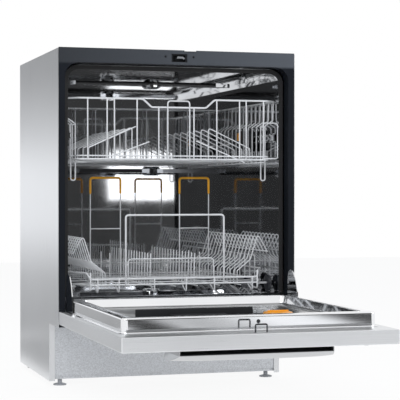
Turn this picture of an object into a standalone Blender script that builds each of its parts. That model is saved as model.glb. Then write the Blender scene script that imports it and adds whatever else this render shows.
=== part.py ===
"""Under-counter commercial dishwasher with a drop-down door, two wire racks and three spray arms.

Metres, +Z up.  The front faces -Y.  The door is modelled open (level) with both racks pushed in,
the state from which every piece can move on its own.  Pieces are laid out in cabinet
coordinates (y = 0 is the front face of the cabinet, z = 0 the floor) under one datum empty.
"""

import math

import bmesh
import bpy
from mathutils import Matrix, Vector

# ---------------------------------------------------------------- driving dimensions
DATUM_Y = 0.0440          # front face of the cabinet, measured from the middle of the open machine
WIDTH, HEIGHT, DEPTH = 0.598, 0.8205, 0.528
SHEET = 0.001             # stainless sheet
GAP = 0.0003              # least gap between neighbouring pieces
PLINTH_BOTTOM, STEP_Z, PLINTH_RECESS = 0.012, 0.154, 0.1125

OPEN_X, OPEN_TOP, OPEN_R = 0.2825, 0.785, 0.034      # opening of the front frame
FRAME_DEPTH = 0.033
TUB_X, TUB_TOP, TUB_FRONT, TUB_BACK = 0.2755, 0.782, 0.0346, 0.513
LEDGE_Z, TUB_FLOOR = 0.2235, 0.186                   # wheel ledges and the floor between them

HINGE_Y, HINGE_Z = 0.00065, 0.19435                  # door hinge line
DOOR_X, DOOR_Z0, DOOR_Z1, DOOR_END, DOOR_NEAR = 0.2975, 0.161, 0.1917, -0.624, -0.001
LINER_X, LINER_Z, LINER_END, LINER_NEAR = 0.2785, 0.2233, -0.548, -0.008

WHEEL_R = 0.0205
WHEEL_X, AXLE_Z = 0.2636, LEDGE_Z + GAP + WHEEL_R
LOWER_Y0, LOWER_Y1, LOWER_X = 0.037, 0.497, 0.2555   # lower rack, front, back and side, pushed in
LOWER_FRONT_X, LOWER_CORNER_Y = 0.2130, 0.135        # its front corners are cut off between these
WHEEL_YS = (0.100, 0.195, 0.405, 0.474)
UPPER_Y0, UPPER_Y1 = 0.036, 0.492                    # upper rack, pushed in
UPPER_RIM_X, UPPER_X = 0.2655, 0.2450                # its flared rim and its side below the step
UPPER_TOP, UPPER_DIP, UPPER_STEP, UPPER_FLOOR = 0.703, 0.683, 0.648, 0.556
RAIL_Z = 0.612                                       # upper rack's telescopic rails
ARM_HUB_Y = 0.265                                    # axis of all three spray arms
BUTTON_XS = (-0.230, 0.230)
CAP_X, CAP_Z = -0.175, 0.305                         # softener cap on the back wall
RINSE_X, RINSE_Y = 0.096, -0.437                     # rinse-aid cap
LEVER_Y = 0.278                                      # height levers of the upper rack

for old in list(bpy.data.objects):
    bpy.data.objects.remove(old, do_unlink=True)


# ---------------------------------------------------------------- collections and materials
def collection(name):
    made = bpy.data.collections.new(name)
    bpy.context.scene.collection.children.link(made)
    return made


PARTS = collection("dishwasher")
CUTTERS = collection("cutters")


def finish(name, colour, roughness, metallic):
    made = bpy.data.materials.new(name)
    made.use_nodes = True
    shader = made.node_tree.nodes["Principled BSDF"]
    shader.inputs["Base Color"].default_value = (*colour, 1.0)
    shader.inputs["Roughness"].default_value = roughness
    shader.inputs["Metallic"].default_value = metallic
    return made


STEEL = finish("brushed_steel", (0.62, 0.64, 0.66), 0.32, 1.0)
POLISHED = finish("polished_steel", (0.74, 0.75, 0.76), 0.12, 1.0)
FRAME_GREY = finish("slate_frame", (0.045, 0.052, 0.064), 0.42, 0.2)
GALVANISED = finish("galvanised_sheet", (0.58, 0.60, 0.63), 0.5, 0.9)
RUBBER = finish("black_rubber", (0.012, 0.012, 0.013), 0.65, 0.0)
PLASTIC = finish("black_plastic", (0.02, 0.022, 0.025), 0.45, 0.0)
GREY = finish("grey_plastic", (0.42, 0.43, 0.45), 0.5, 0.0)
COATED = finish("white_coated_wire", (0.82, 0.83, 0.84), 0.35, 0.0)
WHEEL = finish("anthracite_wheel", (0.03, 0.033, 0.04), 0.4, 0.0)
YELLOW = finish("yellow_grip", (0.90, 0.45, 0.02), 0.4, 0.0)
ORANGE = finish("orange_cap", (0.75, 0.30, 0.01), 0.38, 0.0)
GLASS = finish("dark_glass", (0.01, 0.01, 0.012), 0.08, 0.0)


# ---------------------------------------------------------------- bodies
def axis_empty(name, at=(0, 0, 0), parent=None):
    """An empty on a moving piece's joint axis; `at` is in cabinet coordinates."""
    made = bpy.data.objects.new(name, None)
    made.empty_display_size = 0.03
    made.location = at
    PARTS.objects.link(made)
    if parent:
        bpy.context.view_layer.update()
        made.parent = parent
        made.matrix_parent_inverse = parent.matrix_world.inverted()
    return made


def settle(obj, name, material, body):
    """Name a finished piece, give it its material and hang it on its body."""
    obj.name = name
    obj.data.name = name
    obj.data.materials.clear()
    obj.data.materials.append(material)
    for other in list(obj.users_collection):
        other.objects.unlink(obj)
    PARTS.objects.link(obj)
    obj.hide_render = False
    obj.display_type = "TEXTURED"
    bpy.context.view_layer.update()
    obj.parent = body
    obj.matrix_parent_inverse = body.matrix_world.inverted()
    return obj


# ---------------------------------------------------------------- shapes
def link_mesh(mesh):
    obj = bpy.data.objects.new(mesh.name, mesh)
    CUTTERS.objects.link(obj)
    obj.hide_render = True
    obj.display_type = "WIRE"
    return obj


def bake(obj):
    """The object's evaluated mesh, welded, as a plain mesh object."""
    bpy.context.view_layer.update()
    graph = bpy.context.evaluated_depsgraph_get()
    mesh = bpy.data.meshes.new_from_object(obj.evaluated_get(graph))
    mesh.transform(obj.matrix_world)
    work = bmesh.new()
    work.from_mesh(mesh)
    bmesh.ops.remove_doubles(work, verts=work.verts, dist=2e-6)
    bmesh.ops.recalc_face_normals(work, faces=work.faces)
    work.to_mesh(mesh)
    work.free()
    mesh.name = obj.name
    bpy.data.objects.remove(obj, do_unlink=True)
    return link_mesh(mesh)


def block(low, high, bevel=0.0, segments=1):
    """A box between two corners, its edges rounded by a Bevel modifier."""
    work = bmesh.new()
    bmesh.ops.create_cube(work, size=1.0)
    size = [b - a for a, b in zip(low, high)]
    centre = [(a + b) / 2 for a, b in zip(low, high)]
    bmesh.ops.scale(work, vec=size, verts=work.verts)
    bmesh.ops.translate(work, vec=centre, verts=work.verts)
    mesh = bpy.data.meshes.new("block")
    work.to_mesh(mesh)
    work.free()
    obj = link_mesh(mesh)
    if bevel:
        rounding = obj.modifiers.new("edges", "BEVEL")
        rounding.width = bevel
        rounding.segments = segments
        rounding.limit_method = "ANGLE"
        obj = bake(obj)
    return obj


AXES = {
    "x": Matrix(((0, 0, 1), (1, 0, 0), (0, 1, 0))).to_4x4(),      # outline in (y, z)
    "y": Matrix(((1, 0, 0), (0, 0, -1), (0, 1, 0))).to_4x4(),     # outline in (x, z)
    "z": Matrix.Identity(4),                                      # outline in (x, y)
}


def prism(outlines, start, end, axis="y"):
    """Flat outlines (the first the edge, the others holes) extruded from start to end on an axis."""
    curve = bpy.data.curves.new("prism", "CURVE")
    curve.dimensions = "2D"
    curve.fill_mode = "BOTH"
    curve.extrude = (end - start) / 2
    for outline in outlines:
        spline = curve.splines.new("POLY")
        spline.points.add(len(outline) - 1)
        for point, (a, b) in zip(spline.points, outline):
            point.co = (a, b, 0, 1)
        spline.use_cyclic_u = True
    obj = bpy.data.objects.new("prism", curve)
    CUTTERS.objects.link(obj)
    turn = AXES[axis].copy()
    middle = (start + end) / 2
    shift = {"x": (middle, 0, 0), "y": (0, middle, 0), "z": (0, 0, middle)}[axis]
    obj.matrix_world = Matrix.Translation(shift) @ turn
    return bake(obj)


def rod(points, radius, closed=False, sides=4):
    """A round wire through points, as a poly curve with a bevel and filled caps."""
    curve = bpy.data.curves.new("rod", "CURVE")
    curve.dimensions = "3D"
    curve.bevel_depth = radius
    curve.bevel_resolution = (sides - 4) // 2
    curve.use_fill_caps = True
    spline = curve.splines.new("POLY")
    spline.points.add(len(points) - 1)
    for knot, place in zip(spline.points, points):
        knot.co = (*place, 1)
    spline.use_cyclic_u = closed
    obj = bpy.data.objects.new("rod", curve)
    CUTTERS.objects.link(obj)
    return bake(obj)


def turned(profile, at, axis="z", steps=20):
    """A closed profile of (radius, height), run from top to bottom, turned with a Screw modifier."""
    mesh = bpy.data.meshes.new("turned")
    points = [(r, 0, z) for r, z in profile]
    mesh.from_pydata(points, [(i, i + 1) for i in range(len(points) - 1)], [])
    obj = link_mesh(mesh)
    screw = obj.modifiers.new("turn", "SCREW")
    screw.steps = screw.render_steps = steps
    screw.use_merge_vertices = True
    screw.merge_threshold = 0.00005
    turn = {"z": Matrix.Identity(4), "x": Matrix.Rotation(math.pi / 2, 4, "Y"),
            "y": Matrix.Rotation(-math.pi / 2, 4, "X")}[axis]
    obj.matrix_world = Matrix.Translation(at) @ turn
    return smooth(bake(obj))


def smooth(obj, angle=math.radians(40)):
    obj.data.shade_smooth()
    obj.data.set_sharp_from_angle(angle=angle)
    return obj


def boolean(obj, others, operation):
    """One exact Boolean of obj with every object in others, applied."""
    group = collection("operands")
    for other in others:
        CUTTERS.objects.unlink(other)
        group.objects.link(other)
    cut = obj.modifiers.new(operation.lower(), "BOOLEAN")
    cut.operation = operation
    cut.operand_type = "COLLECTION"
    cut.collection = group
    cut.solver = "EXACT"
    made = bake(obj)
    for other in others:
        bpy.data.objects.remove(other, do_unlink=True)
    bpy.data.collections.remove(group)
    return made


def cut(obj, *others):
    return boolean(obj, others, "DIFFERENCE")


def fuse(pieces):
    return fill_pockets(boolean(pieces[0], pieces[1:], "UNION"))


def fill_pockets(obj):
    """Where three wires meet they can seal a pocket between them: its inner skin is removed."""
    work = bmesh.new()
    work.from_mesh(obj.data)
    left = set(work.faces)
    while left:
        island, edge = set(), [next(iter(left))]
        while edge:
            face = edge.pop()
            if face in island:
                continue
            island.add(face)
            edge += [other for side in face.edges for other in side.link_faces if other not in island]
        left -= island
        volume = 0.0
        for face in island:
            corners = [v.co for v in face.verts]
            for a, b in zip(corners[1:], corners[2:]):
                volume += corners[0].dot(a.cross(b)) / 6
        if len(island) < 400 and volume < 0:
            bmesh.ops.delete(work, geom=list(island), context="FACES")
    work.to_mesh(obj.data)
    work.free()
    return obj


def rounded_path(points, radius, steps=3, closed=False):
    """Points with each corner replaced by a curve that leaves and joins its sides smoothly."""
    knots = [Vector(p) for p in points]
    out = []
    count = len(knots)
    for i, here in enumerate(knots):
        if not closed and i in (0, count - 1):
            out.append(here)
            continue
        before, after = knots[i - 1], knots[(i + 1) % count]
        one, two = before - here, after - here
        reach = min(radius / math.tan(one.angle(two) / 2), one.length * 0.45, two.length * 0.45)
        first, last = here + one.normalized() * reach, here + two.normalized() * reach
        for k in range(steps + 1):
            t = k / steps
            out.append(first * (1 - t) ** 2 + here * (2 * t * (1 - t)) + last * t ** 2)
    return [tuple(p) for p in out]


def arc(cx, cz, radius, start, end, steps):
    """Points of an arc in a flat outline; angles in degrees."""
    return [(cx + radius * math.cos(math.radians(start + (end - start) * k / steps)),
             cz + radius * math.sin(math.radians(start + (end - start) * k / steps)))
            for k in range(steps + 1)]


def arch(half, bottom, top, radius, steps=5):
    """The outline of an opening: square at the bottom, rounded at both top corners."""
    return ([(half, bottom)] + arc(half - radius, top - radius, radius, 0, 90, steps)
            + arc(radius - half, top - radius, radius, 90, 180, steps) + [(-half, bottom)])


def rect(x0, z0, x1, z1):
    return [(x0, z0), (x1, z0), (x1, z1), (x0, z1)]


def mirrored(outline):
    return [(-a, b) for a, b in reversed(outline)]


# ---------------------------------------------------------------- cabinet
def cabinet(body):
    half = WIDTH / 2
    side = [(0.0003, STEP_Z), (PLINTH_RECESS, STEP_Z), (PLINTH_RECESS, PLINTH_BOTTOM),
            (DEPTH, PLINTH_BOTTOM), (DEPTH, 0.8175), (0.0003, 0.8175)]
    for sign, name in ((-1, "side_panel_left"), (1, "side_panel_right")):
        skin = prism([side], min(sign * (half - SHEET), sign * half), max(sign * (half - SHEET), sign * half), "x")
        inner = sign * (half - SHEET + 0.0001)
        flange = block((min(inner, sign * (half - 0.014)), PLINTH_RECESS, PLINTH_BOTTOM),
                       (max(inner, sign * (half - 0.014)), PLINTH_RECESS + SHEET, STEP_Z))
        settle(fuse([skin, flange]), name, STEEL, body)

    # front frame: a face plate with an opening and the reveal behind it, and slots for the lock
    outer = half - SHEET - GAP
    face = prism([rect(-outer, STEP_Z, outer, HEIGHT), arch(OPEN_X, 0.188, OPEN_TOP, OPEN_R)], 0.0, 0.0013)
    reveal = prism([arch(OPEN_X + 0.0012, 0.1868, OPEN_TOP + 0.0012, OPEN_R + 0.0012),
                    arch(OPEN_X, 0.188, OPEN_TOP, OPEN_R)], 0.0005, FRAME_DEPTH)
    lock_slot = block((-0.0195, -0.01, 0.7915), (0.0205, 0.01, 0.8115))
    notch = block((0.013, -0.01, 0.8165), (0.043, 0.01, 0.83))
    settle(cut(fuse([face, reveal]), lock_slot, notch), "front_frame", FRAME_GREY, body)

    # top cover: a sheet with a turned-down edge that stands on the frame and panels
    top = block((-half, 0.0016, 0.8178), (half, DEPTH, 0.8188))
    tray = block((-half, DEPTH - 0.0012, 0.8130), (half, DEPTH, 0.8180))
    corner_cut = block((-half - 0.01, DEPTH - 0.003, 0.80), (-half + 0.0016, DEPTH + 0.01, 0.8177))
    corner_cut_2 = block((half - 0.0016, DEPTH - 0.003, 0.80), (half + 0.01, DEPTH + 0.01, 0.8177))
    settle(cut(fuse([top, tray]), corner_cut, corner_cut_2), "top_cover", STEEL, body)

    # back panel, pressed with a shallow field and an opening for water and drain connections
    back = block((-half + SHEET + GAP, DEPTH - 0.0034, PLINTH_BOTTOM), (half - SHEET - GAP, DEPTH - 0.0016, 0.8172))
    field = block((-0.25, DEPTH - 0.0022, 0.20), (0.25, DEPTH + 0.01, 0.76))
    service = prism([arc(-0.19, 0.085, 0.034, 0, 360, 20)[:-1]], DEPTH - 0.03, DEPTH + 0.03)
    settle(cut(back, field, service), "back_panel", GALVANISED, body)

    # tub: a deep-drawn box with rounded top corners, wheel ledges and a lower floor between them
    def section(grow=0.0):
        right = [(0.0, TUB_FLOOR - grow), (0.226 + grow * 0.5, TUB_FLOOR - grow), (0.240 + grow * 0.4, LEDGE_Z - grow),
                 (TUB_X + grow, LEDGE_Z - grow)] + arc(TUB_X - 0.036, TUB_TOP - 0.036, 0.036 + grow, 0, 90, 5)
        return right + mirrored(right[1:])
    tub = prism([section(0.001)], TUB_FRONT, TUB_BACK)
    cavity = prism([section(0.0)], TUB_FRONT + 0.001, TUB_BACK - 0.001)
    mouth = prism([[p for p in arch(TUB_X, LEDGE_Z, TUB_TOP, 0.036)]], TUB_FRONT - 0.01, TUB_FRONT + 0.002)
    drain = prism([arc(0.0, ARM_HUB_Y + 0.02, 0.062, 0, 360, 24)[:-1]], 0.17, 0.20, "z")
    feed = prism([arc(0.0, 0.640, 0.010, 0, 360, 12)[:-1]], TUB_BACK - 0.01, TUB_BACK + 0.01)
    salt = prism([arc(CAP_X, CAP_Z, 0.031, 0, 360, 20)[:-1]], TUB_BACK - 0.01, TUB_BACK + 0.01)
    settle(cut(tub, cavity, mouth, drain, feed, salt), "tub", POLISHED, body)

    # seal: a flat rubber lip round three sides of the mouth
    lip = prism([arch(0.2784, 0.2250, 0.7812, 0.033)], 0.0300, 0.0342)
    inside = prism([arch(0.2692, 0.20, 0.7712, 0.026)], 0.02, 0.05)
    settle(cut(lip, inside), "door_seal", RUBBER, body)

    # base pan: a shallow drip tray between the side panels
    pan = block((-half + 0.002, PLINTH_RECESS + 0.006, 0.0160), (half - 0.002, DEPTH - 0.004, 0.0300))
    hollow = block((-half + 0.004, PLINTH_RECESS + 0.008, 0.0175), (half - 0.004, DEPTH - 0.006, 0.05))
    settle(cut(pan, hollow), "base_pan", GALVANISED, body)

    plinth = block((-half + 0.0145, PLINTH_RECESS + 0.0014, PLINTH_BOTTOM + 0.012),
                   (half - 0.0145, PLINTH_RECESS + 0.0034, STEP_Z - 0.001))
    settle(plinth, "plinth_panel", GALVANISED, body)

    for name, x, y in (("foot_front_left", -0.269, 0.132), ("foot_front_right", 0.269, 0.132),
                       ("foot_back_left", -0.269, 0.490), ("foot_back_right", 0.269, 0.490)):
        profile = [(0, 0.0157), (0.0055, 0.0157), (0.0055, 0.0050), (0.0100, 0.0045), (0.0165, 0.0025), (0.0165, 0), (0, 0)]
        settle(turned(profile, (x, y, 0), steps=12), name, GREY, body)

    # catch: the latch mouth behind the frame's slot
    catch = block((-0.024, 0.0022, 0.7880), (0.025, 0.0200, 0.8140), 0.001)
    throat = block((-0.0155, -0.01, 0.7930), (0.0165, 0.0180, 0.8085))
    settle(cut(catch, throat), "lock_catch", PLASTIC, body)

    # fixed rails of the upper rack: C channels on the tub walls
    for sign, name in ((-1, "rack_rail_left"), (1, "rack_rail_right")):
        x0, x1 = TUB_X - 0.0012, TUB_X - 0.0132
        outline = [(x0, RAIL_Z - 0.011), (x1, RAIL_Z - 0.011), (x1, RAIL_Z - 0.0085), (x0 - 0.0016, RAIL_Z - 0.0085),
                   (x0 - 0.0016, RAIL_Z + 0.0085), (x1, RAIL_Z + 0.0085), (x1, RAIL_Z + 0.011), (x0, RAIL_Z + 0.011)]
        if sign < 0:
            outline = mirrored(outline)
        settle(prism([outline], 0.045, 0.490), name, POLISHED, body)



def wet_end(body):
    """Sump, filter, pumps and pipes: what lies under and behind the tub."""
    hub = ARM_HUB_Y
    inside = turned([(0, 0.30), (0.0555, 0.30), (0.0555, 0.152), (0.026, 0.123), (0, 0.123)], (0, hub + 0.02, 0))
    bowl = turned([(0, 0.1851), (0.0605, 0.1851), (0.0605, 0.1847), (0.072, 0.1847), (0.072, 0.1825),
                   (0.0605, 0.1825), (0.0605, 0.150), (0.030, 0.118), (0, 0.118)], (0, hub + 0.02, 0))
    settle(cut(bowl, inside), "sump", GREY, body)

    pump = turned([(0, 0.080), (0.030, 0.080), (0.034, 0.074), (0.034, 0.0), (0.044, -0.004), (0.044, -0.030),
                   (0.014, -0.034), (0, -0.034)], (0.135, hub + 0.02, 0.088), "y", 18)
    settle(pump, "circulation_pump", PLASTIC, body)
    drain = turned([(0, 0.050), (0.022, 0.050), (0.022, 0.0), (0.028, -0.002), (0.028, -0.018), (0, -0.018)],
                   (-0.135, hub + 0.03, 0.075), "y", 16)
    settle(drain, "drain_pump", PLASTIC, body)
    heater = turned([(0, 0.045), (0.016, 0.045), (0.016, -0.045), (0, -0.045)], (0.055, hub + 0.115, 0.080), "x", 14)
    settle(heater, "flow_heater", POLISHED, body)

    inlet = turned([(0, 0.030), (0.0125, 0.030), (0.0125, 0.016), (0.020, 0.014), (0.020, -0.012), (0, -0.012)],
                   (-0.19, DEPTH - 0.022, 0.085), "y", 16)
    settle(inlet, "inlet_valve", PLASTIC, body)


def softener_cap(body):
    """Screw cap of the water softener's salt container, in the tub's back wall."""
    cap = turned([(0, 0), (0.035, 0), (0.035, -0.0040), (0.027, -0.0055), (0.024, -0.0095), (0, -0.0095)],
                 (CAP_X, TUB_BACK - SHEET - 0.0004, CAP_Z), "y")
    settle(cap, "softener_cap", PLASTIC, body)


def spray_arm(name, body, z, length, thick=0.010):
    """A pressed two-blade arm with nozzle holes and a round hub, its axis through the hub."""
    half_w = 0.021
    outline = []
    for sign in (1, -1):
        outline += [(sign * 0.026, -sign * half_w), (sign * length * 0.8, -sign * half_w * 0.8)]
        outline += [(sign * (length - 0.010), -sign * half_w * 0.55), (sign * length, 0.0),
                    (sign * (length - 0.012), sign * half_w * 0.5), (sign * 0.030, sign * half_w)]
    blade = prism([outline], z - thick / 2, z + thick / 2, "z")
    blade.data.transform(Matrix.Translation((0, ARM_HUB_Y, 0)))
    hub = turned([(0, z + 0.011), (0.020, z + 0.011), (0.024, z + 0.006), (0.024, z - 0.008), (0.018, z - 0.012),
                  (0, z - 0.012)], (0, ARM_HUB_Y, 0), steps=16)
    return settle(fuse([blade, hub]), name, POLISHED, body)


# ---------------------------------------------------------------- door
def door(body):
    panel = block((-DOOR_X, DOOR_END, DOOR_Z0), (DOOR_X, DOOR_NEAR, DOOR_Z1), 0.0012, 1)
    pocket = block((-0.2903, -0.6183, 0.15), (0.2903, -0.5857, DOOR_Z0 + 0.0030))
    settle(cut(panel, pocket), "door_outer_panel", STEEL, body)

    # inner liner: a dished stainless tray with a raised rim
    z0 = DOOR_Z1 + GAP
    radius = 0.022
    corners = [(LINER_X, LINER_NEAR), (LINER_X, LINER_END), (-LINER_X, LINER_END), (-LINER_X, LINER_NEAR)]
    rim = [p[:2] for p in rounded_path([(a, b, 0) for a, b in corners], radius, 5, True)]
    tray = prism([rim], z0, LINER_Z, "z")
    dish = block((-LINER_X + 0.030, LINER_END + 0.026, z0 + 0.0105), (LINER_X - 0.030, LINER_NEAR - 0.050, 0.30),
                 0.012, 2)
    ribs = [prism([[(sx * 0.233, -0.10), (sx * 0.226, -0.10), (sx * 0.226, -0.50), (sx * 0.233, -0.50)][::sx]],
                  z0 + 0.006, 0.23, "z") for sx in (1, -1)]
    well = prism([housing_outline(0.002)], z0 + 0.002, 0.25, "z")
    settle(cut(tray, dish, well, *ribs), "door_liner", POLISHED, body)

    # hinge cheeks: quarter-round side plates that close the gap beside the tub
    for sign, name in ((-1, "hinge_cheek_left"), (1, "hinge_cheek_right")):
        fan = [(-0.078, 0.1925), (-0.004, 0.1925), (-0.004, 0.262), (-0.012, 0.279), (-0.026, 0.284)]
        fan += [(-0.044, 0.277), (-0.060, 0.258), (-0.071, 0.232)]
        x0 = LINER_X + GAP
        settle(prism([fan], min(sign * x0, sign * (x0 + 0.0022)), max(sign * x0, sign * (x0 + 0.0022)), "x"),
               name, GREY, body)

    # grip: a bowed lip under the face, hollowed from the door's free edge for the fingers
    right = [(0.168, DOOR_Z0 - GAP), (0.168, 0.1478), (0.158, 0.1415), (0.142, 0.1385), (0.100, 0.1360), (0.050, 0.1345)]
    grip = prism([right + mirrored(right)], -0.5820, -0.4900)
    settle(cut(grip, block((-0.160, -0.60, 0.1465), (0.160, -0.5150, 0.17))), "door_handle", STEEL, body)

    # control fascia let into the outer face near the door's free edge, flush with it
    fascia = block((-0.290, -0.6180, DOOR_Z0), (0.290, -0.5860, DOOR_Z0 + 0.0027))
    wells = [prism([arc(x, -0.602, 0.0082, 0, 360, 12)[:-1]], 0.15, 0.17, "z") for x in BUTTON_XS]
    settle(cut(fascia, *wells), "control_fascia", PLASTIC, body)
    settle(block((-0.050, -0.6130, DOOR_Z0 - 0.0015), (0.050, -0.5920, DOOR_Z0 - GAP)), "display_window", GLASS, body)

    strike = rod(rounded_path([(-0.0125, -0.6020, DOOR_Z1 + GAP), (-0.0125, -0.6020, 0.2085),
                               (0.0125, -0.6020, 0.2085), (0.0125, -0.6020, DOOR_Z1 + GAP)], 0.003, 2), 0.0018)
    settle(strike, "lock_strike", POLISHED, body)

    # detergent and rinse-aid dispenser in the liner's well
    housing = prism([housing_outline(0)], z_well() + GAP, 0.2090, "z")
    basin = block((-0.122, -0.465, z_well() + 0.006), (-0.010, -0.375, 0.25), 0.006, 1)
    collar = prism([arc(RINSE_X, RINSE_Y, 0.0345, 0, 360, 24)[:-1]], z_well() + 0.006, 0.25, "z")
    settle(cut(housing, basin, collar), "dispenser_body", PLASTIC, body)


def housing_outline(grow):
    """Rounded outline of the dispenser, or with `grow` of the well round it."""
    x0, x1, y0, y1 = -0.133 - grow, 0.148 + grow, -0.483 - grow, -0.357 + grow
    return [p[:2] for p in rounded_path([(x1, y1, 0), (x0, y1, 0), (x0, y0, 0), (x1, y0, 0)], 0.012, 3, True)]


def z_well():
    return DOOR_Z1 + GAP + 0.002


def dispenser_lid(body):
    lid = block((-0.1290, -0.4710, 0.2094), (-0.0030, -0.3660, 0.2124), 0.001)
    settle(lid, "dispenser_lid", PLASTIC, body)


def rinse_cap(body):
    cap = turned([(0, 0.2190), (0.024, 0.2190), (0.0318, 0.2172), (0.0330, 0.2130), (0.0330, 0.2010), (0, 0.2010)],
                 (RINSE_X, RINSE_Y, 0), steps=24)
    bar = block((RINSE_X - 0.024, RINSE_Y - 0.0025, 0.2160), (RINSE_X + 0.024, RINSE_Y + 0.0025, 0.2218), 0.001)
    settle(fuse([cap, bar]), "rinse_aid_cap", ORANGE, body)


# ---------------------------------------------------------------- wire racks
def lower_half(y):
    """Half width of the lower rack at a depth: its front corners are cut off."""
    share = min(1.0, (y - LOWER_Y0) / (LOWER_CORNER_Y - LOWER_Y0))
    return LOWER_FRONT_X + (LOWER_X - LOWER_FRONT_X) * share


def lower_rack(body):
    """Lower rack: rims, posts, floor grid, plate supports and the tall front loop, fused into one frame."""
    x, a, y0, yc, y1 = LOWER_X, LOWER_FRONT_X, LOWER_Y0, LOWER_CORNER_Y, LOWER_Y1
    top, shoulder, mid, front, low, floor, foot = 0.3110, 0.3260, 0.2790, 0.2640, 0.2500, 0.2440, 0.2360
    wires = []

    def line(*points, r=0.0019, bend=0.0, closed=False, sides=4):
        path = rounded_path(points, bend, 2, closed) if bend else points
        wires.append(rod(path, r, closed, sides))

    def both(*points, **kind):
        for sx in (-1, 1):
            line(*[(sx * px, py, pz) for px, py, pz in points], **kind)

    line((-a, y0, low), (a, y0, low), (x, yc, low), (x, y1, low), (-x, y1, low), (-x, yc, low),
         bend=0.018, closed=True, r=0.0024)
    line((-a, y0, front), (a, y0, front), (a + 0.006, y0 + 0.012, mid), (x, yc, mid), (x, y1, mid), (-x, y1, mid),
         (-x, yc, mid), (-a - 0.006, y0 + 0.012, mid), bend=0.010, closed=True, r=0.0024, sides=6)
    line((-a, y0 - 0.0012, mid + 0.002), (-a, y0 - 0.0012, foot), (a, y0 - 0.0012, foot),
         (a, y0 - 0.0012, mid + 0.002), bend=0.008)
    both((x - 0.0006, 0.176, low - 0.0015), (x - 0.0006, 0.176, top), (x - 0.0006, y1 - 0.014, top),
         (x - 0.0006, y1 - 0.014, low - 0.0015), bend=0.010)
    for py in (0.255, 0.340, 0.430):
        both((x - 0.0009, py, low - 0.0015), (x - 0.0009, py, top + 0.0012))
    for k in range(7):                                      # floor wires front to back
        fx = 0.170 * (k / 3 - 1)
        line((fx, y0 - 0.001, floor + 0.0005), (fx, y1 + 0.001, floor + 0.0005))
    for k in range(5):                                      # floor wires across
        fy = y0 + 0.036 + 0.096 * k
        across = lower_half(fy) + 0.0006
        line((-across, fy, floor + 0.0028), (across, fy, floor + 0.0028))
    for fx in (-0.195, -0.053, 0.028, 0.200):               # front hooks
        line((fx, y0 - 0.0014, front + 0.0015), (fx, y0 - 0.0014, 0.2300), (fx, y0 + 0.020, 0.2380),
             (fx, y0 + 0.036, floor + 0.0030))
    line((-0.1252, y0 - 0.0010, 0.2470), (-0.1252, y0 - 0.0010, 0.4195), (0.1252, y0 - 0.0010, 0.4195),
         (0.1252, y0 - 0.0010, 0.2470), bend=0.008, r=0.0024)
    line((-0.110, y0 + 0.036, floor + 0.003), (-0.110, y0 + 0.036, 0.3105), (0.110, y0 + 0.036, 0.3105),
         (0.110, y0 + 0.036, floor + 0.003))
    both((0.2495, 0.060, shoulder), (0.2495, y1 - 0.014, shoulder))
    for k in range(6):                                      # plate supports and the tines between the plates
        fy = 0.066 + 0.0819 * k
        both((0.1700, fy, floor + 0.001), (0.1700, fy, 0.2780), (0.2050, fy, 0.3060),
             (0.2250, fy, 0.3700), (0.2500, fy, shoulder - 0.0004), r=0.0017)
        both((0.0567, fy, floor + 0.001), (0.0567, fy - 0.007, 0.3250), r=0.0017)
    for wy in WHEEL_YS:                                     # axle stubs for the wheels
        hold = lower_half(wy)
        both((hold - 0.004, wy, AXLE_Z), (0.2690, wy, AXLE_Z), r=0.0030)
        both((hold - 0.0004, wy, 0.2520), (hold - 0.0004, wy, 0.2400), r=0.0034)
    return settle(fuse(wires), "lower_rack_frame", COATED, body)


def wheel(name, body, sx, wy):
    """A spoked rack wheel running free on its stub axle."""
    rim = turned([(0, 0.0042), (WHEEL_R, 0.0042), (WHEEL_R, -0.0042), (0, -0.0042)], (0, 0, 0), "x", 16)
    bore = turned([(0, 0.02), (0.0036, 0.02), (0.0036, -0.02), (0, -0.02)], (0, 0, 0), "x", 6)
    dish = turned([(0.007, 0.0060), (0.0155, 0.0060), (0.0155, 0.0024), (0.007, 0.0024), (0.007, 0.0060)],
                  (0, 0, 0), "x", 8)
    for piece in (bore, dish):
        piece.data.transform(Matrix.Scale(sx, 4, (1, 0, 0)))
        if sx < 0:
            piece.data.flip_normals()
    made = cut(rim, bore, dish)
    made.data.transform(Matrix.Translation((sx * WHEEL_X, wy, AXLE_Z)))
    return settle(smooth(made), name, WHEEL, body)


def insert(body):
    """Lift-out plate insert in the lower rack: a wire base and two uprights that carry the grips."""
    y, base = 0.276, 0.2510
    wires = [rod(rounded_path([(-0.165, y - 0.05, base), (0.165, y - 0.05, base), (0.165, y + 0.05, base),
                               (-0.165, y + 0.05, base)], 0.010, 3, True), 0.0017, True)]
    for sx in (-1, 1):
        for gx in (0.0800, 0.1600):
            wires.append(rod([(sx * gx, y, base - 0.0010), (sx * gx, y, 0.4700)], 0.0017))
        for fy in (-0.05, 0.05):
            wires.append(rod([(sx * 0.12, y + fy, base - 0.0010), (sx * 0.12, y + fy, 0.320)], 0.0017))
    wires.append(rod([(-0.166, y, base + 0.001), (0.166, y, base + 0.001)], 0.0017))
    wires.append(rod([(-0.0, y - 0.051, base + 0.001), (-0.0, y + 0.051, base + 0.001)], 0.0017))
    for sx in (-1, 1):
        wires.append(rod([(sx * 0.1610, y, 0.3800), (sx * 0.0790, y, 0.3800)], 0.0017))
        wires.append(rod([(sx * 0.12, y - 0.051, base + 0.001), (sx * 0.12, y + 0.051, base + 0.001)], 0.0017))
    settle(fuse(wires), "plate_insert", COATED, body)
    for sx, name in ((-1, "insert_grip_left"), (1, "insert_grip_right")):
        grip = rod(rounded_path([(sx * 0.0800, y, 0.4703), (sx * 0.0800, y, 0.5120), (sx * 0.1600, y, 0.5120),
                                 (sx * 0.1600, y, 0.4703)], 0.006, 3), 0.0030, sides=8)
        settle(smooth(grip), name, YELLOW, body)


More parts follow.
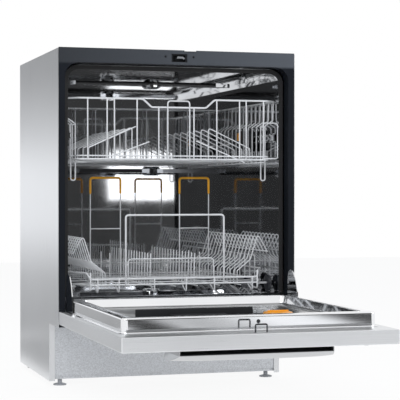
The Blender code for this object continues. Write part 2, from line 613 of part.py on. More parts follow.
def upper_rack(body):
    """Upper rack: flared rim with a dip at the front, stepped sides, floor grid and hanging legs."""
    y0, y1, xt, xb = UPPER_Y0, UPPER_Y1, UPPER_RIM_X, UPPER_X
    top, dip, step, floor = UPPER_TOP, UPPER_DIP, UPPER_STEP, UPPER_FLOOR
    wires = []

    def line(*points, r=0.0018, bend=0.0, closed=False, sides=4):
        path = rounded_path(points, bend, 2, closed) if bend else points
        wires.append(rod(path, r, closed, sides))

    def both(*points, **kind):
        for sx in (-1, 1):
            line(*[(sx * px, py, pz) for px, py, pz in points], **kind)

    line((-xt, y0 + 0.025, top), (-xt + 0.025, y0, top), (-0.082, y0, top), (-0.060, y0, dip), (0.079, y0, dip),
         (0.101, y0, top), (xt - 0.025, y0, top), (xt, y0 + 0.025, top), (xt, y1, top), (-xt, y1, top),
         bend=0.012, closed=True, r=0.0024, sides=6)
    for z, r in ((floor, 0.0022), (0.5640, 0.0018)):
        line((-xb, y0, z), (xb, y0, z), (xb, y1, z), (-xb, y1, z), bend=0.016, closed=True, r=r)
    for fx in (-0.2200, -0.1718, -0.1538, -0.0969, -0.0423, 0.0475, 0.1065, 0.1659, 0.1833, 0.2288):
        high = dip if -0.055 < fx < 0.075 else top
        line((fx, y0 - 0.0012, floor - 0.001), (fx, y0 - 0.0012, high + 0.0008))
    for fx in (-0.2200, -0.0969, 0.1065, 0.2288):
        line((fx, y1 + 0.0010, floor - 0.001), (fx, y1 + 0.0010, top + 0.0008))
    line((-0.0195, y0 - 0.0014, floor - 0.001), (-0.0195, y0 - 0.0014, 0.699), (0.0365, y0 - 0.0014, 0.699),
         (0.0365, y0 - 0.0014, floor - 0.001), bend=0.008)
    count = 7
    for k in range(count):                                  # side wires: flared top, step in, curl under
        fy = y0 + 0.030 + (y1 - y0 - 0.060) * k / (count - 1)
        both((xt + 0.0006, fy, top + 0.0008), (xt - 0.0006, fy, step + 0.008), (xb - 0.001, fy, step - 0.006),
             (xb - 0.001, fy, floor - 0.006), (0.2150, fy, floor - 0.0075), r=0.0016)
    for k in range(4):                                      # floor
        fx = 0.208 * (k / 1.5 - 1)
        line((fx, y0 - 0.0010, floor - 0.0022), (fx, y1 + 0.0010, floor - 0.0022), r=0.0016)
        fy = y0 + 0.040 + 0.1253 * k
        line((-xb - 0.001, fy, floor - 0.0005), (xb + 0.001, fy, floor - 0.0005), r=0.0016)
    for k in range(3):                                      # sloping glass supports
        fy = y0 + 0.040 + 0.1253 * (k + 0.5)
        both((0.2080, fy, floor - 0.002), (0.2080, fy, 0.5850), (0.0985, fy, 0.6360), (0.0985, fy, 0.5540),
             (0.2095, fy, 0.5540), r=0.0016)
    both((0.2511, y0 + 0.050, step - 0.004), (0.2511, y0 + 0.050, 0.5045), (0.2397, y0 + 0.050, 0.5045),
         (0.2397, y0 + 0.050, step - 0.004))                # long hanging U legs and what ties them to the side
    for z in (0.5645, 0.6405):
        both((0.2515, y0 + 0.050, z), (0.2393, y0 + 0.050, z))
    line((0.2260, y0 - 0.0005, step), (0.2668, y0 - 0.0005, step), (0.2668, y0 - 0.0005, 0.5590),
         (0.2260, y0 - 0.0005, 0.5590), r=0.0016, bend=0.006)
    return settle(fuse(wires), "upper_rack_frame", COATED, body)


def carriage(name, body, sx):
    """Black carriage that carries the rack's side on the rail, with its height ratchet and runner."""
    x0, x1 = 0.2466, 0.2555
    outline = [(0.192, 0.6285), (0.192, 0.5900), (0.200, 0.5840), (0.350, 0.5840), (0.358, 0.5900), (0.358, 0.6285),
               (0.350, 0.6370), (0.200, 0.6370)]
    lo, hi = sorted((sx * x0, sx * x1))
    body_piece = prism([outline], lo, hi, "x")
    a, b = sorted((sx * (x1 - 0.001), sx * 0.2578))
    runner = block((a, 0.235, RAIL_Z - 0.0058), (b, 0.315, RAIL_Z + 0.0058), 0.001)
    a, b = sorted((sx * 0.23, sx * 0.2538))
    slot = block((a, LEVER_Y - 0.008, 0.6090), (b, LEVER_Y + 0.008, 0.6340))
    made = cut(fuse([body_piece, runner]), slot)
    return settle(made, name, PLASTIC, body)


def main():
    datum = axis_empty("cabinet_datum")
    door_axis = axis_empty("door_hinge_axis", (0, HINGE_Y, HINGE_Z), datum)
    lower = axis_empty("lower_rack_slide", (0, LOWER_Y0, LEDGE_Z), datum)
    upper = axis_empty("upper_rack_slide", (0, UPPER_Y0, UPPER_FLOOR), datum)

    cabinet(datum)
    wet_end(datum)
    filter_axis = axis_empty("filter_axis", (0, ARM_HUB_Y + 0.02, 0.18), datum)
    screen = turned([(0, 0.1870), (0.0540, 0.1870), (0.0540, 0.1840), (0.030, 0.1800), (0.024, 0.1350), (0, 0.1350)],
                    (0, ARM_HUB_Y + 0.02, 0))
    settle(screen, "filter", GREY, filter_axis)

    softener_cap(axis_empty("softener_cap_axis", (CAP_X, TUB_BACK, CAP_Z), datum))
    for name, z, length, parent in (("spray_arm_top", 0.7560, 0.215, datum), ("spray_arm_lower", 0.2120, 0.205, datum),
                                    ("spray_arm_middle", 0.5300, 0.205, upper)):
        spray_arm(name, axis_empty(name + "_axis", (0, ARM_HUB_Y, z), parent), z, length)
    door(door_axis)
    dispenser_lid(axis_empty("dispenser_lid_axis", (-0.066, -0.4185, 0.211), door_axis))
    rinse_cap(axis_empty("rinse_cap_axis", (RINSE_X, RINSE_Y, 0.205), door_axis))
    for name, x in zip(("power_button", "start_button"), BUTTON_XS):
        axis = axis_empty(name + "_axis", (x, -0.602, 0.160), door_axis)
        button = turned([(0, 0.1622), (0.0075, 0.1622), (0.0075, 0.1594), (0.0065, 0.1587), (0, 0.1587)],
                        (x, -0.602, 0), steps=12)
        settle(button, name, GREY, axis)

    upper_rack(upper)
    for sx, side in ((-1, "left"), (1, "right")):
        slide = axis_empty("middle_rail_%s_axis" % side, (sx * 0.262, 0.06, RAIL_Z), datum)
        a, b = sorted((sx * 0.2583, sx * 0.2687))
        rail = block((a, 0.050, RAIL_Z - 0.0078), (b, 0.488, RAIL_Z + 0.0078), 0.001)
        groove = block((min(sx * 0.25, sx * 0.2600), 0.04, RAIL_Z - 0.004), (max(sx * 0.25, sx * 0.2600), 0.50, RAIL_Z + 0.004))
        settle(cut(rail, groove), "middle_rail_" + side, POLISHED, slide)
        carriage("carriage_" + side, upper, sx)
        lever = axis_empty("height_lever_%s_axis" % side, (sx * 0.245, LEVER_Y, 0.6215), upper)
        a, b = sorted((sx * 0.2415, sx * 0.2503))
        settle(block((a, LEVER_Y - 0.0065, 0.6110), (b, LEVER_Y + 0.0065, 0.6320), 0.0015), "height_lever_" + side,
               ORANGE, lever)

    lower_rack(lower)
    insert(lower)
    for sx, side in ((-1, "left"), (1, "right")):
        for k, wy in enumerate(WHEEL_YS):
            axis = axis_empty("wheel_axis_%s_%d" % (side, k + 1), (sx * WHEEL_X, wy, AXLE_Z), lower)
            wheel("rack_wheel_%s_%d" % (side, k + 1), axis, sx, wy)
    datum.location.y = DATUM_Y
    bpy.context.view_layer.update()


main()
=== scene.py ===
"""Surface, finish and studio for an under-counter dishwasher with a drop-down door.

Every new piece is a numpy surface: a tube along a path, a profile turned about an axis or
a grid of two parameters.  Pieces are laid out in cabinet coordinates, where y = 0 is the
front face of the cabinet, and moved to the frame's own place when their mesh is made.
"""

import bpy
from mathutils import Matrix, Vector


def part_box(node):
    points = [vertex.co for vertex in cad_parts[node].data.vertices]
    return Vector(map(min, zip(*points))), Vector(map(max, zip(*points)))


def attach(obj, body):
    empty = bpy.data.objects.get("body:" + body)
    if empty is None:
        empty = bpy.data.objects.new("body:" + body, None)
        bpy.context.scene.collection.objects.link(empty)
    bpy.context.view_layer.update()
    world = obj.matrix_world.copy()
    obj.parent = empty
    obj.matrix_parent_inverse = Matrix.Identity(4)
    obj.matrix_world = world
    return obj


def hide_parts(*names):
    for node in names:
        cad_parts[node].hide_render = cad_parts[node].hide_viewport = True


bl_info = {
    "name": "Under-counter dishwasher",
    "version": (1, 0, 0),
    "blender": (4, 5, 0),
    "location": "3D View > Sidebar > Dishwasher",
    "description": "Dresses the packed dishwasher with its wire racks, pressed steel and studio",
    "category": "Add Mesh",
}

import math

import bmesh
import bpy
import numpy as np
from bpy.props import FloatProperty, FloatVectorProperty, IntProperty, PointerProperty
from mathutils import Vector

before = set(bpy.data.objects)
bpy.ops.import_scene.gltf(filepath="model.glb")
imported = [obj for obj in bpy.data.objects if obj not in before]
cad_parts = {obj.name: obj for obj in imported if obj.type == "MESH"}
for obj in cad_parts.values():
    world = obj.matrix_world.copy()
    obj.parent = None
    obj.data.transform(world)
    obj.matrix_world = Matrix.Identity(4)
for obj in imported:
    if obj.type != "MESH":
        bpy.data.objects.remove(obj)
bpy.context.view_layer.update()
FRONT_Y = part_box("front_frame")[0][1]

# places and sizes shared with the solids, in metres and cabinet coordinates
LOWER_Y0, LOWER_Y1 = 0.037, 0.497
LOWER_X, LOWER_FRONT_X, LOWER_CORNER_Y = 0.2555, 0.2130, 0.135
UPPER_Y0, UPPER_Y1 = 0.036, 0.492
UPPER_RIM_X, UPPER_X, UPPER_RIM_Z = 0.2655, 0.2450, 0.703
WHEEL_YS = (0.100, 0.195, 0.405, 0.474)
WHEEL_X, AXLE_Z, WHEEL_R = 0.2636, 0.2443, 0.0205
INSERT_Y, INSERT_Z = 0.276, 0.2510
INSERT_GRIP_X = (0.0800, 0.1600)
LINER_X, LINER_FRONT, LINER_BACK, LINER_TOP = 0.2785, -0.5480, -0.0080, 0.2233
DISH_Z = 0.2025
WELL = (-0.133, 0.148, -0.483, -0.357)
DOOR_FACE_Z, DOOR_INNER_Z = 0.1607, 0.1902
GRIP_X, GRIP_FRONT = 0.168, -0.582
OPENING_TOP = 0.786
FASCIA_SCREWS = ((-0.0345, 0.8045), (0.0363, 0.8045))
SIDES = (("left", -1), ("right", 1))

# the photograph's camera: its place in cabinet coordinates, its turn and its focal length
EYE, YAW, PITCH = (-0.9684, -3.3586, 0.4854), 0.2951, -0.0083
FOCAL_PX, PHOTO_PX, SENSOR_MM = 1436.5, 400, 36.0


# ---------------------------------------------------------------- sizes and colours
class DishwasherSizes(bpy.types.PropertyGroup):
    wire: FloatProperty(name="Wire radius", description="Radius of the racks' coated wires",
                        default=0.0018, min=0.001, max=0.003, subtype="DISTANCE", unit="LENGTH")
    rim: FloatProperty(name="Rim radius", description="Radius of the racks' coated rims",
                       default=0.0024, min=0.0015, max=0.004, subtype="DISTANCE", unit="LENGTH")
    bend: FloatProperty(name="Wire bend", description="Radius at which wires are bent",
                        default=0.006, min=0.002, max=0.02, subtype="DISTANCE", unit="LENGTH")
    sides: IntProperty(name="Wire sides", description="Facets round each wire", default=10, min=6, max=24)


def colour(name, description, value):
    return FloatVectorProperty(name=name, description=description, default=value, size=3,
                               min=0.0, max=1.0, subtype="COLOR")


class DishwasherColours(bpy.types.PropertyGroup):
    steel: colour("Brushed steel", "Side panels and the door's face", (0.80, 0.815, 0.835))
    polish: colour("Polished steel", "Tub, door liner and rails", (0.82, 0.83, 0.845))
    slate: colour("Slate frame", "Coated front frame", (0.0085, 0.0105, 0.0150))
    fascia: colour("Fascia", "Paler band of the frame above the opening", (0.060, 0.066, 0.076))
    zinc: colour("Galvanised sheet", "Plinth, base and back", (0.66, 0.68, 0.71))
    coating: colour("Wire coating", "Plastic on the racks' wires", (0.76, 0.77, 0.785))
    black: colour("Black plastic", "Carriages, dispenser and fascia", (0.018, 0.019, 0.022))
    grey: colour("Grey plastic", "Feet, sump, filter and caps", (0.40, 0.41, 0.43))
    wheel: colour("Wheel plastic", "Anthracite rack wheels", (0.012, 0.014, 0.020))
    yellow: colour("Grip yellow", "Grips of the insert", (0.90, 0.42, 0.018))
    orange: colour("Cap orange", "Rinse-aid cap and levers", (0.86, 0.34, 0.010))
    backdrop: colour("Backdrop", "Floor and background", (0.93, 0.93, 0.93))


# ---------------------------------------------------------------- shader expressions
class Signal:
    """A shader output; sums, products and abs() of it add Math nodes."""

    def __init__(self, nodes, socket):
        self.nodes, self.socket = nodes, socket

    def __add__(self, other):
        return self.nodes.maths("ADD", self, other)

    def __mul__(self, other):
        return self.nodes.maths("MULTIPLY", self, other)

    def __abs__(self):
        return self.nodes.maths("ABSOLUTE", self)

    __radd__, __rmul__ = __add__, __mul__


class Nodes:
    """A node tree, and the one method that every node of it comes from."""

    def __init__(self, tree):
        self.tree = tree

    def feed(self, socket, value):
        """Link a signal to a socket, or write a plain value in it."""
        if isinstance(value, Signal):
            self.tree.links.new(value.socket, socket)
        else:
            socket.default_value = value

    def add(self, kind, settings=None, inputs=None, out=0):
        node = self.tree.nodes.new(kind)
        for key, value in (settings or {}).items():
            if key == "stops":
                for _ in range(len(value) - 2):
                    node.color_ramp.elements.new(0.5)
                for stop, (where, tint) in zip(node.color_ramp.elements, value):
                    stop.position, stop.color = where, tint
            else:
                setattr(node, key, value)
        for key, value in (inputs or {}).items():
            self.feed(node.inputs[key], value)
        return Signal(self, node.outputs[out]) if len(node.outputs) else None

    def maths(self, operation, *values):
        return self.add("ShaderNodeMath", {"operation": operation}, dict(enumerate(values)))


class Finish(Nodes):
    """A Principled material built from expressions on Object coordinates."""

    def __init__(self, name, base, roughness, metallic=0.0, fixed=None):
        self.material = bpy.data.materials.new(name)
        self.material.use_nodes = True
        super().__init__(self.material.node_tree)
        self.shader = self.tree.nodes["Principled BSDF"]
        self.base = (*base, 1.0)
        values = {"Metallic": metallic, "Roughness": roughness, "Base Color": self.base, **(fixed or {})}
        for key, value in values.items():
            self.set(key, value)
        self.here = self.add("ShaderNodeTexCoord", out="Object")

    def set(self, name, value):
        self.feed(self.shader.inputs[name], value)

    def stretched(self, scale):
        return self.add("ShaderNodeMapping", None, {"Vector": self.here, "Scale": scale})

    def noise(self, scale, detail=3.0, rough=0.5, vector=None):
        return self.add("ShaderNodeTexNoise", None, {"Vector": vector or self.here, "Scale": scale,
                                                     "Detail": detail, "Roughness": rough})

    def cells(self, scale, out="Color"):
        return self.add("ShaderNodeTexVoronoi", None, {"Vector": self.here, "Scale": scale}, out)

    def remap(self, value, low, high, to_low, to_high):
        return self.add("ShaderNodeMapRange", {"clamp": True},
                        {"Value": value, "From Min": low, "From Max": high,
                         "To Min": to_low, "To Max": to_high})

    def blend(self, amount, one, two):
        """One colour where the amount is 0 and the other where it is 1, by a colour Mix."""
        return self.add("ShaderNodeMix", {"data_type": "RGBA"}, {0: amount, 6: one, 7: two}, 2)

    def tinted(self, tint, amount):
        """A colour times a number, by Vector Math."""
        return self.add("ShaderNodeVectorMath", {"operation": "SCALE"}, {"Vector": tint, "Scale": amount})

    def bump(self, height, strength, distance):
        self.set("Normal", self.add("ShaderNodeBump", None,
                                    {"Height": height, "Strength": strength, "Distance": distance}))

    def axis(self, which):
        return self.add("ShaderNodeSeparateXYZ", None, {"Vector": self.here}, "XYZ".index(which))


def shade(base, factor):
    """A colour times a number, held at white, with alpha."""
    return (*[min(1.0, c * factor) for c in base[:3]], 1.0)


def tone(base, factor):
    """A plain colour times a number, held at white."""
    return shade(base, factor)[:3]


# ---------------------------------------------------------------- finishes
def brushed(name, base, grain, shaded_above=None):
    """Steel brushed along one axis: noise stretched hard along the grain, with painted shade above a height.
    """
    made = Finish(name, base, 0.3, 1.0)
    lines = made.noise(1.0, 4.0, 0.65, made.stretched(grain))
    cloud = made.noise(3.2, 2.0)
    speck = made.noise(900.0, 1.0)
    mixed = made.remap(lines * 0.55 + cloud * 0.30 + speck * 0.15, 0.35, 0.65, 0.0, 1.0)
    steel = made.blend(mixed, shade(made.base, 0.90), made.base)
    # painted shade: above the given height the steel's colour is darkened to 0.80
    if shaded_above:
        steel = made.tinted(steel, made.remap(made.axis("Z"), shaded_above, shaded_above + 0.0006, 1.0, 0.80))
    made.set("Base Color", steel)
    made.set("Roughness", made.remap(lines * 0.7 + cloud * 0.3, 0.3, 0.7, 0.26, 0.40))
    made.bump(lines, 0.06, 0.0004)
    return made.material


def polished(name, base, low=0.03, high=0.07, wave=0.06):
    """Drawn, polished sheet: slow waves in the surface, water marks and faint wiping lines."""
    made = Finish(name, base, 0.08, 1.0)
    slow = made.noise(7.0, 2.0)
    wipe = made.noise(1.0, 3.0, 0.6, made.stretched((60.0, 900.0, 90.0)))
    spots = made.remap(made.cells(75.0, "Distance"), 0.05, 0.16, 1.0, 0.0)
    cloud = made.remap(slow, 0.35, 0.7, 0.0, 1.0)
    made.set("Base Color", made.blend(cloud, shade(made.base, 0.90), made.base))
    made.set("Roughness", made.remap(slow * 0.6 + wipe * 0.3 + spots * 0.15, 0.3, 0.75, low, high))
    made.bump(slow * 0.8 + wipe * 0.04, wave, 0.0016)
    return made.material


def satin_liner(name, base):
    """Finely brushed liner wall and a rougher dish with painted shade in its colour, which is told apart by
    its place.
    """
    made = Finish(name, base, 0.15, 1.0)
    slow = made.noise(7.0, 2.0)
    lines = made.noise(1.0, 3.0, 0.6, made.stretched((9.0, 9.0, 900.0)))
    front = FRONT_Y + LINER_FRONT
    dish = (made.remap(made.axis("Z"), DISH_Z + 0.0010, DISH_Z + 0.0035, 1.0, 0.0)
            * made.remap(abs(made.axis("X")), LINER_X - 0.0220, LINER_X - 0.0185, 1.0, 0.0)
            * made.remap(made.axis("Y"), front + 0.018, front + 0.024, 0.0, 1.0))
    mixed = made.remap(slow * 0.7 + lines * 0.3, 0.35, 0.7, 0.0, 1.0)
    wall = made.blend(mixed, shade(made.base, 0.92), made.base)
    # painted shade: the dish takes 0.38 to 0.50 of the base colour, the wall 0.92 to 1
    shaded_dish = made.blend(mixed, shade(made.base, 0.38), shade(made.base, 0.50))
    made.set("Base Color", made.blend(dish, wall, shaded_dish))
    made.set("Roughness", made.remap(slow * 0.4 + lines * 0.6, 0.3, 0.75, 0.04, 0.08) + dish * 0.22)
    made.bump(slow, 0.03, 0.0016)
    return made.material


def coated_sheet(name, base):
    """Powder-coated sheet: fine orange peel and soft clouds; the band over the opening is paler, and painted
    light makes it darker at its left end and lighter at its right.
    """
    made = Finish(name, base, 0.42, 0.0, {"Specular IOR Level": 0.12})
    peel = made.noise(700.0, 2.0)
    cloud = made.noise(5.0, 3.0)
    band = made.remap(made.axis("Z") + cloud * 0.004, OPENING_TOP - 0.003, OPENING_TOP + 0.003, 0.0, 1.0)
    # painted light: the fascia band's colour is scaled from 0.55 at the left to 1.45 at the right
    along = made.remap(made.axis("X"), -0.30, 0.30, 0.55, 1.45)
    mixed = made.remap(cloud, 0.3, 0.7, 0.0, 1.0)
    plain = made.blend(mixed, shade(made.base, 0.88), shade(made.base, 1.12))
    pale = made.tinted(tuple(bpy.context.scene.dishwasher_colours.fascia), along)
    made.set("Base Color", made.blend(band, plain, pale))
    made.set("Roughness", made.remap(peel * 0.5 + cloud * 0.5, 0.3, 0.7, 0.36, 0.52))
    made.bump(peel, 0.10, 0.0003)
    return made.material


def spangled(name, base):
    """Hot-dip zinc: crystal cells of differing brightness with soft borders."""
    made = Finish(name, base, 0.42, 0.75)
    cell = made.add("ShaderNodeSeparateColor", None, {"Color": made.cells(520.0)})
    grain = made.noise(900.0, 3.0)
    cloud = made.noise(6.0, 2.0)
    mixed = made.remap(cell * 0.5 + grain * 0.3 + cloud * 0.2, 0.25, 0.75, 0.0, 1.0)
    made.set("Base Color", made.blend(mixed, shade(made.base, 0.80), shade(made.base, 1.14)))
    made.set("Roughness", made.remap(cell, 0.0, 1.0, 0.34, 0.52))
    made.bump(cell, 0.10, 0.0002)
    return made.material


# scale of the grain of moulded plastic and how far it stands out
GRAIN, LIFT = 1400.0, 0.12


def moulded(name, base, rough=0.42, grain=GRAIN, lift=LIFT, fixed=None):
    """Moulded plastic: fine spark-eroded grain, faint flow clouds."""
    made = Finish(name, base, rough, 0.0, fixed)
    fine = made.noise(grain, 2.0)
    flow = made.noise(24.0, 3.0)
    mixed = made.remap(flow, 0.3, 0.7, 0.0, 1.0)
    made.set("Base Color", made.blend(mixed, shade(made.base, 0.86), shade(made.base, 1.10)))
    made.set("Roughness", made.remap(fine * 0.6 + flow * 0.4, 0.3, 0.7, rough - 0.07, rough + 0.09))
    made.bump(fine, lift, 0.0002)
    return made.material


def dipped(name, base):
    """Plastic-dipped wire: smooth, slightly uneven coat with faint dulling from hard water."""
    made = Finish(name, base, 0.32, 0.0, {"Coat Weight": 0.25, "Coat Roughness": 0.18})
    flow = made.noise(42.0, 3.0)
    fine = made.noise(600.0, 2.0)
    mixed = made.remap(flow, 0.3, 0.72, 0.0, 1.0)
    made.set("Base Color", made.blend(mixed, shade(made.base, 0.88), made.base))
    made.set("Roughness", made.remap(flow * 0.7 + fine * 0.3, 0.3, 0.7, 0.24, 0.42))
    made.bump(flow * 0.8 + fine * 0.2, 0.10, 0.0004)
    return made.material


FINISHES = {}


def finish(name):
    """The material of that name, made on its first use from the scene's colours."""
    if name in FINISHES:
        return FINISHES[name]
    colours = bpy.context.scene.dishwasher_colours
    recipes = {
        "steel_side": (brushed, colours.steel, (18.0, 900.0, 6.0)),
        # the door's face, with painted shade above the height of its inner face
        "steel_across": (brushed, tone(colours.steel, 1.17), (6.0, 900.0, 900.0), DOOR_INNER_Z),
        # painted shade: the grip is the brushed steel darkened to 0.80
        "grip_steel": (brushed, tone(colours.steel, 0.80), (6.0, 900.0, 900.0)),
        "steel_top": (brushed, colours.steel, (6.0, 900.0, 40.0)),
        "polish": (polished, colours.polish),
        "chrome": (polished, tone(colours.polish, 1.08), 0.03, 0.08, 0.04),
        "liner": (satin_liner, tone(colours.polish, 1.08)),
        "blackened": (polished, (0.07, 0.072, 0.078), 0.16, 0.30),
        "smoked": (polished, (0.30, 0.31, 0.33), 0.06, 0.16),
        "slate": (coated_sheet, colours.slate),
        "zinc": (spangled, colours.zinc),
        "rubber": (moulded, (0.012, 0.012, 0.013), 0.62, 900.0, 0.2),
        "black": (moulded, colours.black),
        "matt_black": (moulded, tone(colours.black, 0.7), 0.60, GRAIN, LIFT, {"Specular IOR Level": 0.2}),
        "grey": (moulded, colours.grey, 0.46),
        "latch_grey": (moulded, tone(colours.grey, 0.5), 0.5),
        "coating": (dipped, colours.coating),
        "wheel": (moulded, colours.wheel, 0.36),
        "yellow": (moulded, colours.yellow, 0.34, 1100.0, 0.08, {"Subsurface Weight": 0.05}),
        "orange": (moulded, colours.orange, 0.30, 1100.0, 0.08),
        "glass": (moulded, (0.008, 0.009, 0.012), 0.12, 200.0, 0.01, {"Coat Weight": 0.6}),
    }
    maker, *values = recipes[name]
    FINISHES[name] = maker(name, *values)
    return FINISHES[name]


def dress(name, *nodes):
    """Give carried-over solids a finish."""
    for node in nodes:
        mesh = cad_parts[node].data
        mesh.materials.clear()
        mesh.materials.append(finish(name))


# ---------------------------------------------------------------- surfaces
def unit(v):
    return v / np.maximum(np.linalg.norm(v, axis=-1, keepdims=True), 1e-12)


def bent(points, bend, steps=5, closed=False):
    """A polyline whose corners are quadratic curves (1-t)^2 a + 2t(1-t) corner + t^2 b."""
    p = np.asarray(points, float)
    if bend <= 0 or len(p) < 3:
        return p
    inner = p if closed else p[1:-1]
    before = np.roll(p, 1, 0) if closed else p[:-2]
    after = np.roll(p, -1, 0) if closed else p[2:]
    one, two = before - inner, after - inner
    length_1, length_2 = np.linalg.norm(one, axis=1), np.linalg.norm(two, axis=1)
    half = np.arccos(np.clip((unit(one) * unit(two)).sum(1), -1, 1)) / 2
    reach = np.minimum(bend / np.maximum(np.tan(half), 1e-6), np.minimum(length_1, length_2) * 0.45)[:, None]
    first, last = inner + unit(one) * reach, inner + unit(two) * reach
    t = np.linspace(0, 1, steps + 1)[None, :, None]
    a, corner, b = first[:, None], inner[:, None], last[:, None]
    curve = (a * (1 - t) ** 2 + corner * 2 * t * (1 - t) + b * t ** 2).reshape(-1, 3)
    return curve if closed else np.vstack([p[:1], curve, p[-1:]])


def grid_faces(rows, columns, wrap_rows=False, wrap_columns=True):
    """Quads of a grid of rows x columns points."""
    i = np.arange(rows if wrap_rows else rows - 1)
    j = np.arange(columns if wrap_columns else columns - 1)
    i, j = np.meshgrid(i, j, indexing="ij")
    i2, j2 = (i + 1) % rows, (j + 1) % columns
    quads = np.stack([i * columns + j, i * columns + j2, i2 * columns + j2, i2 * columns + j], -1)
    return quads.reshape(-1, 4).tolist()


def capped(rows, columns):
    """Faces of a tube of loops, with one face at each end."""
    ends = [list(range(columns))[::-1], list(range((rows - 1) * columns, rows * columns))]
    return grid_faces(rows, columns) + ends


def tube(points, radius, sides=10, closed=False):
    """A circle of the radius carried along a path, with dome ends: place + r(cos u n + sin u b)."""
    p = np.asarray(points, float)
    ahead = np.roll(p, -1, 0) - p if closed else np.diff(p, axis=0, append=p[-1:])
    if not closed:
        ahead[-1] = ahead[-2]
    ahead = unit(ahead)
    behind = np.roll(ahead, 1, 0) if closed else np.vstack([ahead[:1], ahead[:-1]])
    tangent = unit(ahead + behind)
    # the normal of the path's plane or, where it has none, the axis that it follows least
    flat = np.linalg.svd(p - p.mean(0))[2][2]
    if np.abs(tangent @ flat).max() > 0.3:
        flat = np.eye(3)[np.argmin(np.abs(tangent).max(0))]
    normal = unit(np.cross(tangent, flat))
    side = np.cross(tangent, normal)
    radii = np.full(len(p), radius)
    if not closed:
        dome = np.radians([78.0, 45.0, 18.0])
        start = p[0] - tangent[0] * radius * np.sin(dome)[:, None] + tangent[0] * radius
        end = p[-1] + tangent[-1] * radius * np.sin(dome[::-1])[:, None] - tangent[-1] * radius
        p = np.vstack([start, p[1:-1], end])
        normal = np.vstack([np.repeat(normal[:1], 3, 0), normal[1:-1], np.repeat(normal[-1:], 3, 0)])
        side = np.vstack([np.repeat(side[:1], 3, 0), side[1:-1], np.repeat(side[-1:], 3, 0)])
        radii = np.concatenate([radius * np.cos(dome), radii[1:-1], radius * np.cos(dome[::-1])])
    u = np.linspace(0, 2 * np.pi, sides, endpoint=False)
    ring = np.cos(u)[None, :, None] * normal[:, None] + np.sin(u)[None, :, None] * side[:, None]
    points = (p[:, None] + ring * radii[:, None, None]).reshape(-1, 3)
    return points, grid_faces(len(p), sides, True) if closed else capped(len(p), sides)


def turned(profile, centre, axis, steps):
    """A profile of (radius, height) turned about x or y: (h, r cos u, r sin u) or (r sin u, h, r cos u)."""
    r, h = np.asarray(profile, float).T
    u = np.linspace(0, 2 * np.pi, steps, endpoint=False)
    one, two = r[:, None] * np.cos(u), r[:, None] * np.sin(u)
    along = np.repeat(h[:, None], steps, 1)
    order = {"x": (along, one, two), "y": (two, along, one)}[axis]
    return np.stack(order, -1).reshape(-1, 3) + np.asarray(centre), grid_faces(len(r), steps)


def joined(shapes):
    """Several surfaces as one list of points and faces."""
    points, faces, start = [], [], 0
    for part_points, part_faces in shapes:
        points.append(part_points)
        faces += [[k + start for k in face] for face in part_faces]
        start += len(part_points)
    return np.vstack(points), faces


def piece(name, shape, material, body, stands_for=(), weld=True, sharp=math.radians(38)):
    """A mesh object of a shape, moved from cabinet coordinates to the frame, riding on a body."""
    points, faces = shape
    points = np.asarray(points, float) + (0.0, FRONT_Y, 0.0)
    mesh = bpy.data.meshes.new(name)
    mesh.from_pydata(points.tolist(), [], [list(map(int, f)) for f in faces])
    work = bmesh.new()
    work.from_mesh(mesh)
    if weld:
        bmesh.ops.remove_doubles(work, verts=work.verts, dist=1e-6)
        bmesh.ops.dissolve_degenerate(work, edges=work.edges, dist=1e-7)
    bmesh.ops.recalc_face_normals(work, faces=work.faces)
    work.to_mesh(mesh)
    work.free()
    mesh.shade_smooth()
    mesh.set_sharp_from_angle(angle=sharp)
    mesh.materials.append(finish(material))
    made = bpy.data.objects.new(name, mesh)
    bpy.context.scene.collection.objects.link(made)
    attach(made, body)
    if stands_for:
        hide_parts(*stands_for)
    return made


def screw_head(x, y, z, radius):
    """A raised screw head that faces the front: a turned dome with a ring groove."""
    profile = [(0, 0.0016), (radius * 0.3, 0.0016), (radius * 0.36, 0.0009), (radius * 0.5, 0.0009),
               (radius * 0.56, 0.0016), (radius * 0.85, 0.0012), (radius, 0.0002), (radius, -0.0004),
               (0, -0.0004)]
    points, faces = turned(profile, (0, 0, 0), "y", 24)
    return points * (1, -1, 1) + (x, y, z), faces


def carried(outline, places, axis="x"):
    """A closed outline carried along x or y from the first place to the last, with both ends closed."""
    a, b = np.asarray(outline, float).T
    t = np.asarray(places, float)
    across, a, b = t[:, None] + 0 * a, a + 0 * t[:, None], b + 0 * t[:, None]
    grid = {"x": (across, a, b), "y": (a, across, b)}[axis]
    return np.stack(grid, -1).reshape(-1, 3), capped(*across.shape)


def rounded_loop(x0, x1, y0, y1, radius, steps=10):
    """A rectangle whose corners are quarter circles: centre + radius (cos u, sin u).

    Each corner has one more point a little way along the straight on both sides, so that the
    straight walls shade flat."""
    u = np.linspace(0, np.pi / 2, steps)
    away = 0.0006
    turn = [(x1 - radius, y1 - radius, 0), (x0 + radius, y1 - radius, 1), (x0 + radius, y0 + radius, 2),
            (x1 - radius, y0 + radius, 3)]
    corners = []
    for cx, cy, k in turn:
        a = u + k * np.pi / 2
        arc = np.stack([cx + radius * np.cos(a), cy + radius * np.sin(a)], -1)
        first = arc[:1] + away * np.array([[math.sin(a[0]), -math.cos(a[0])]])
        last = arc[-1:] + away * np.array([[-math.sin(a[-1]), math.cos(a[-1])]])
        corners += [first, arc, last]
    return np.vstack(corners)


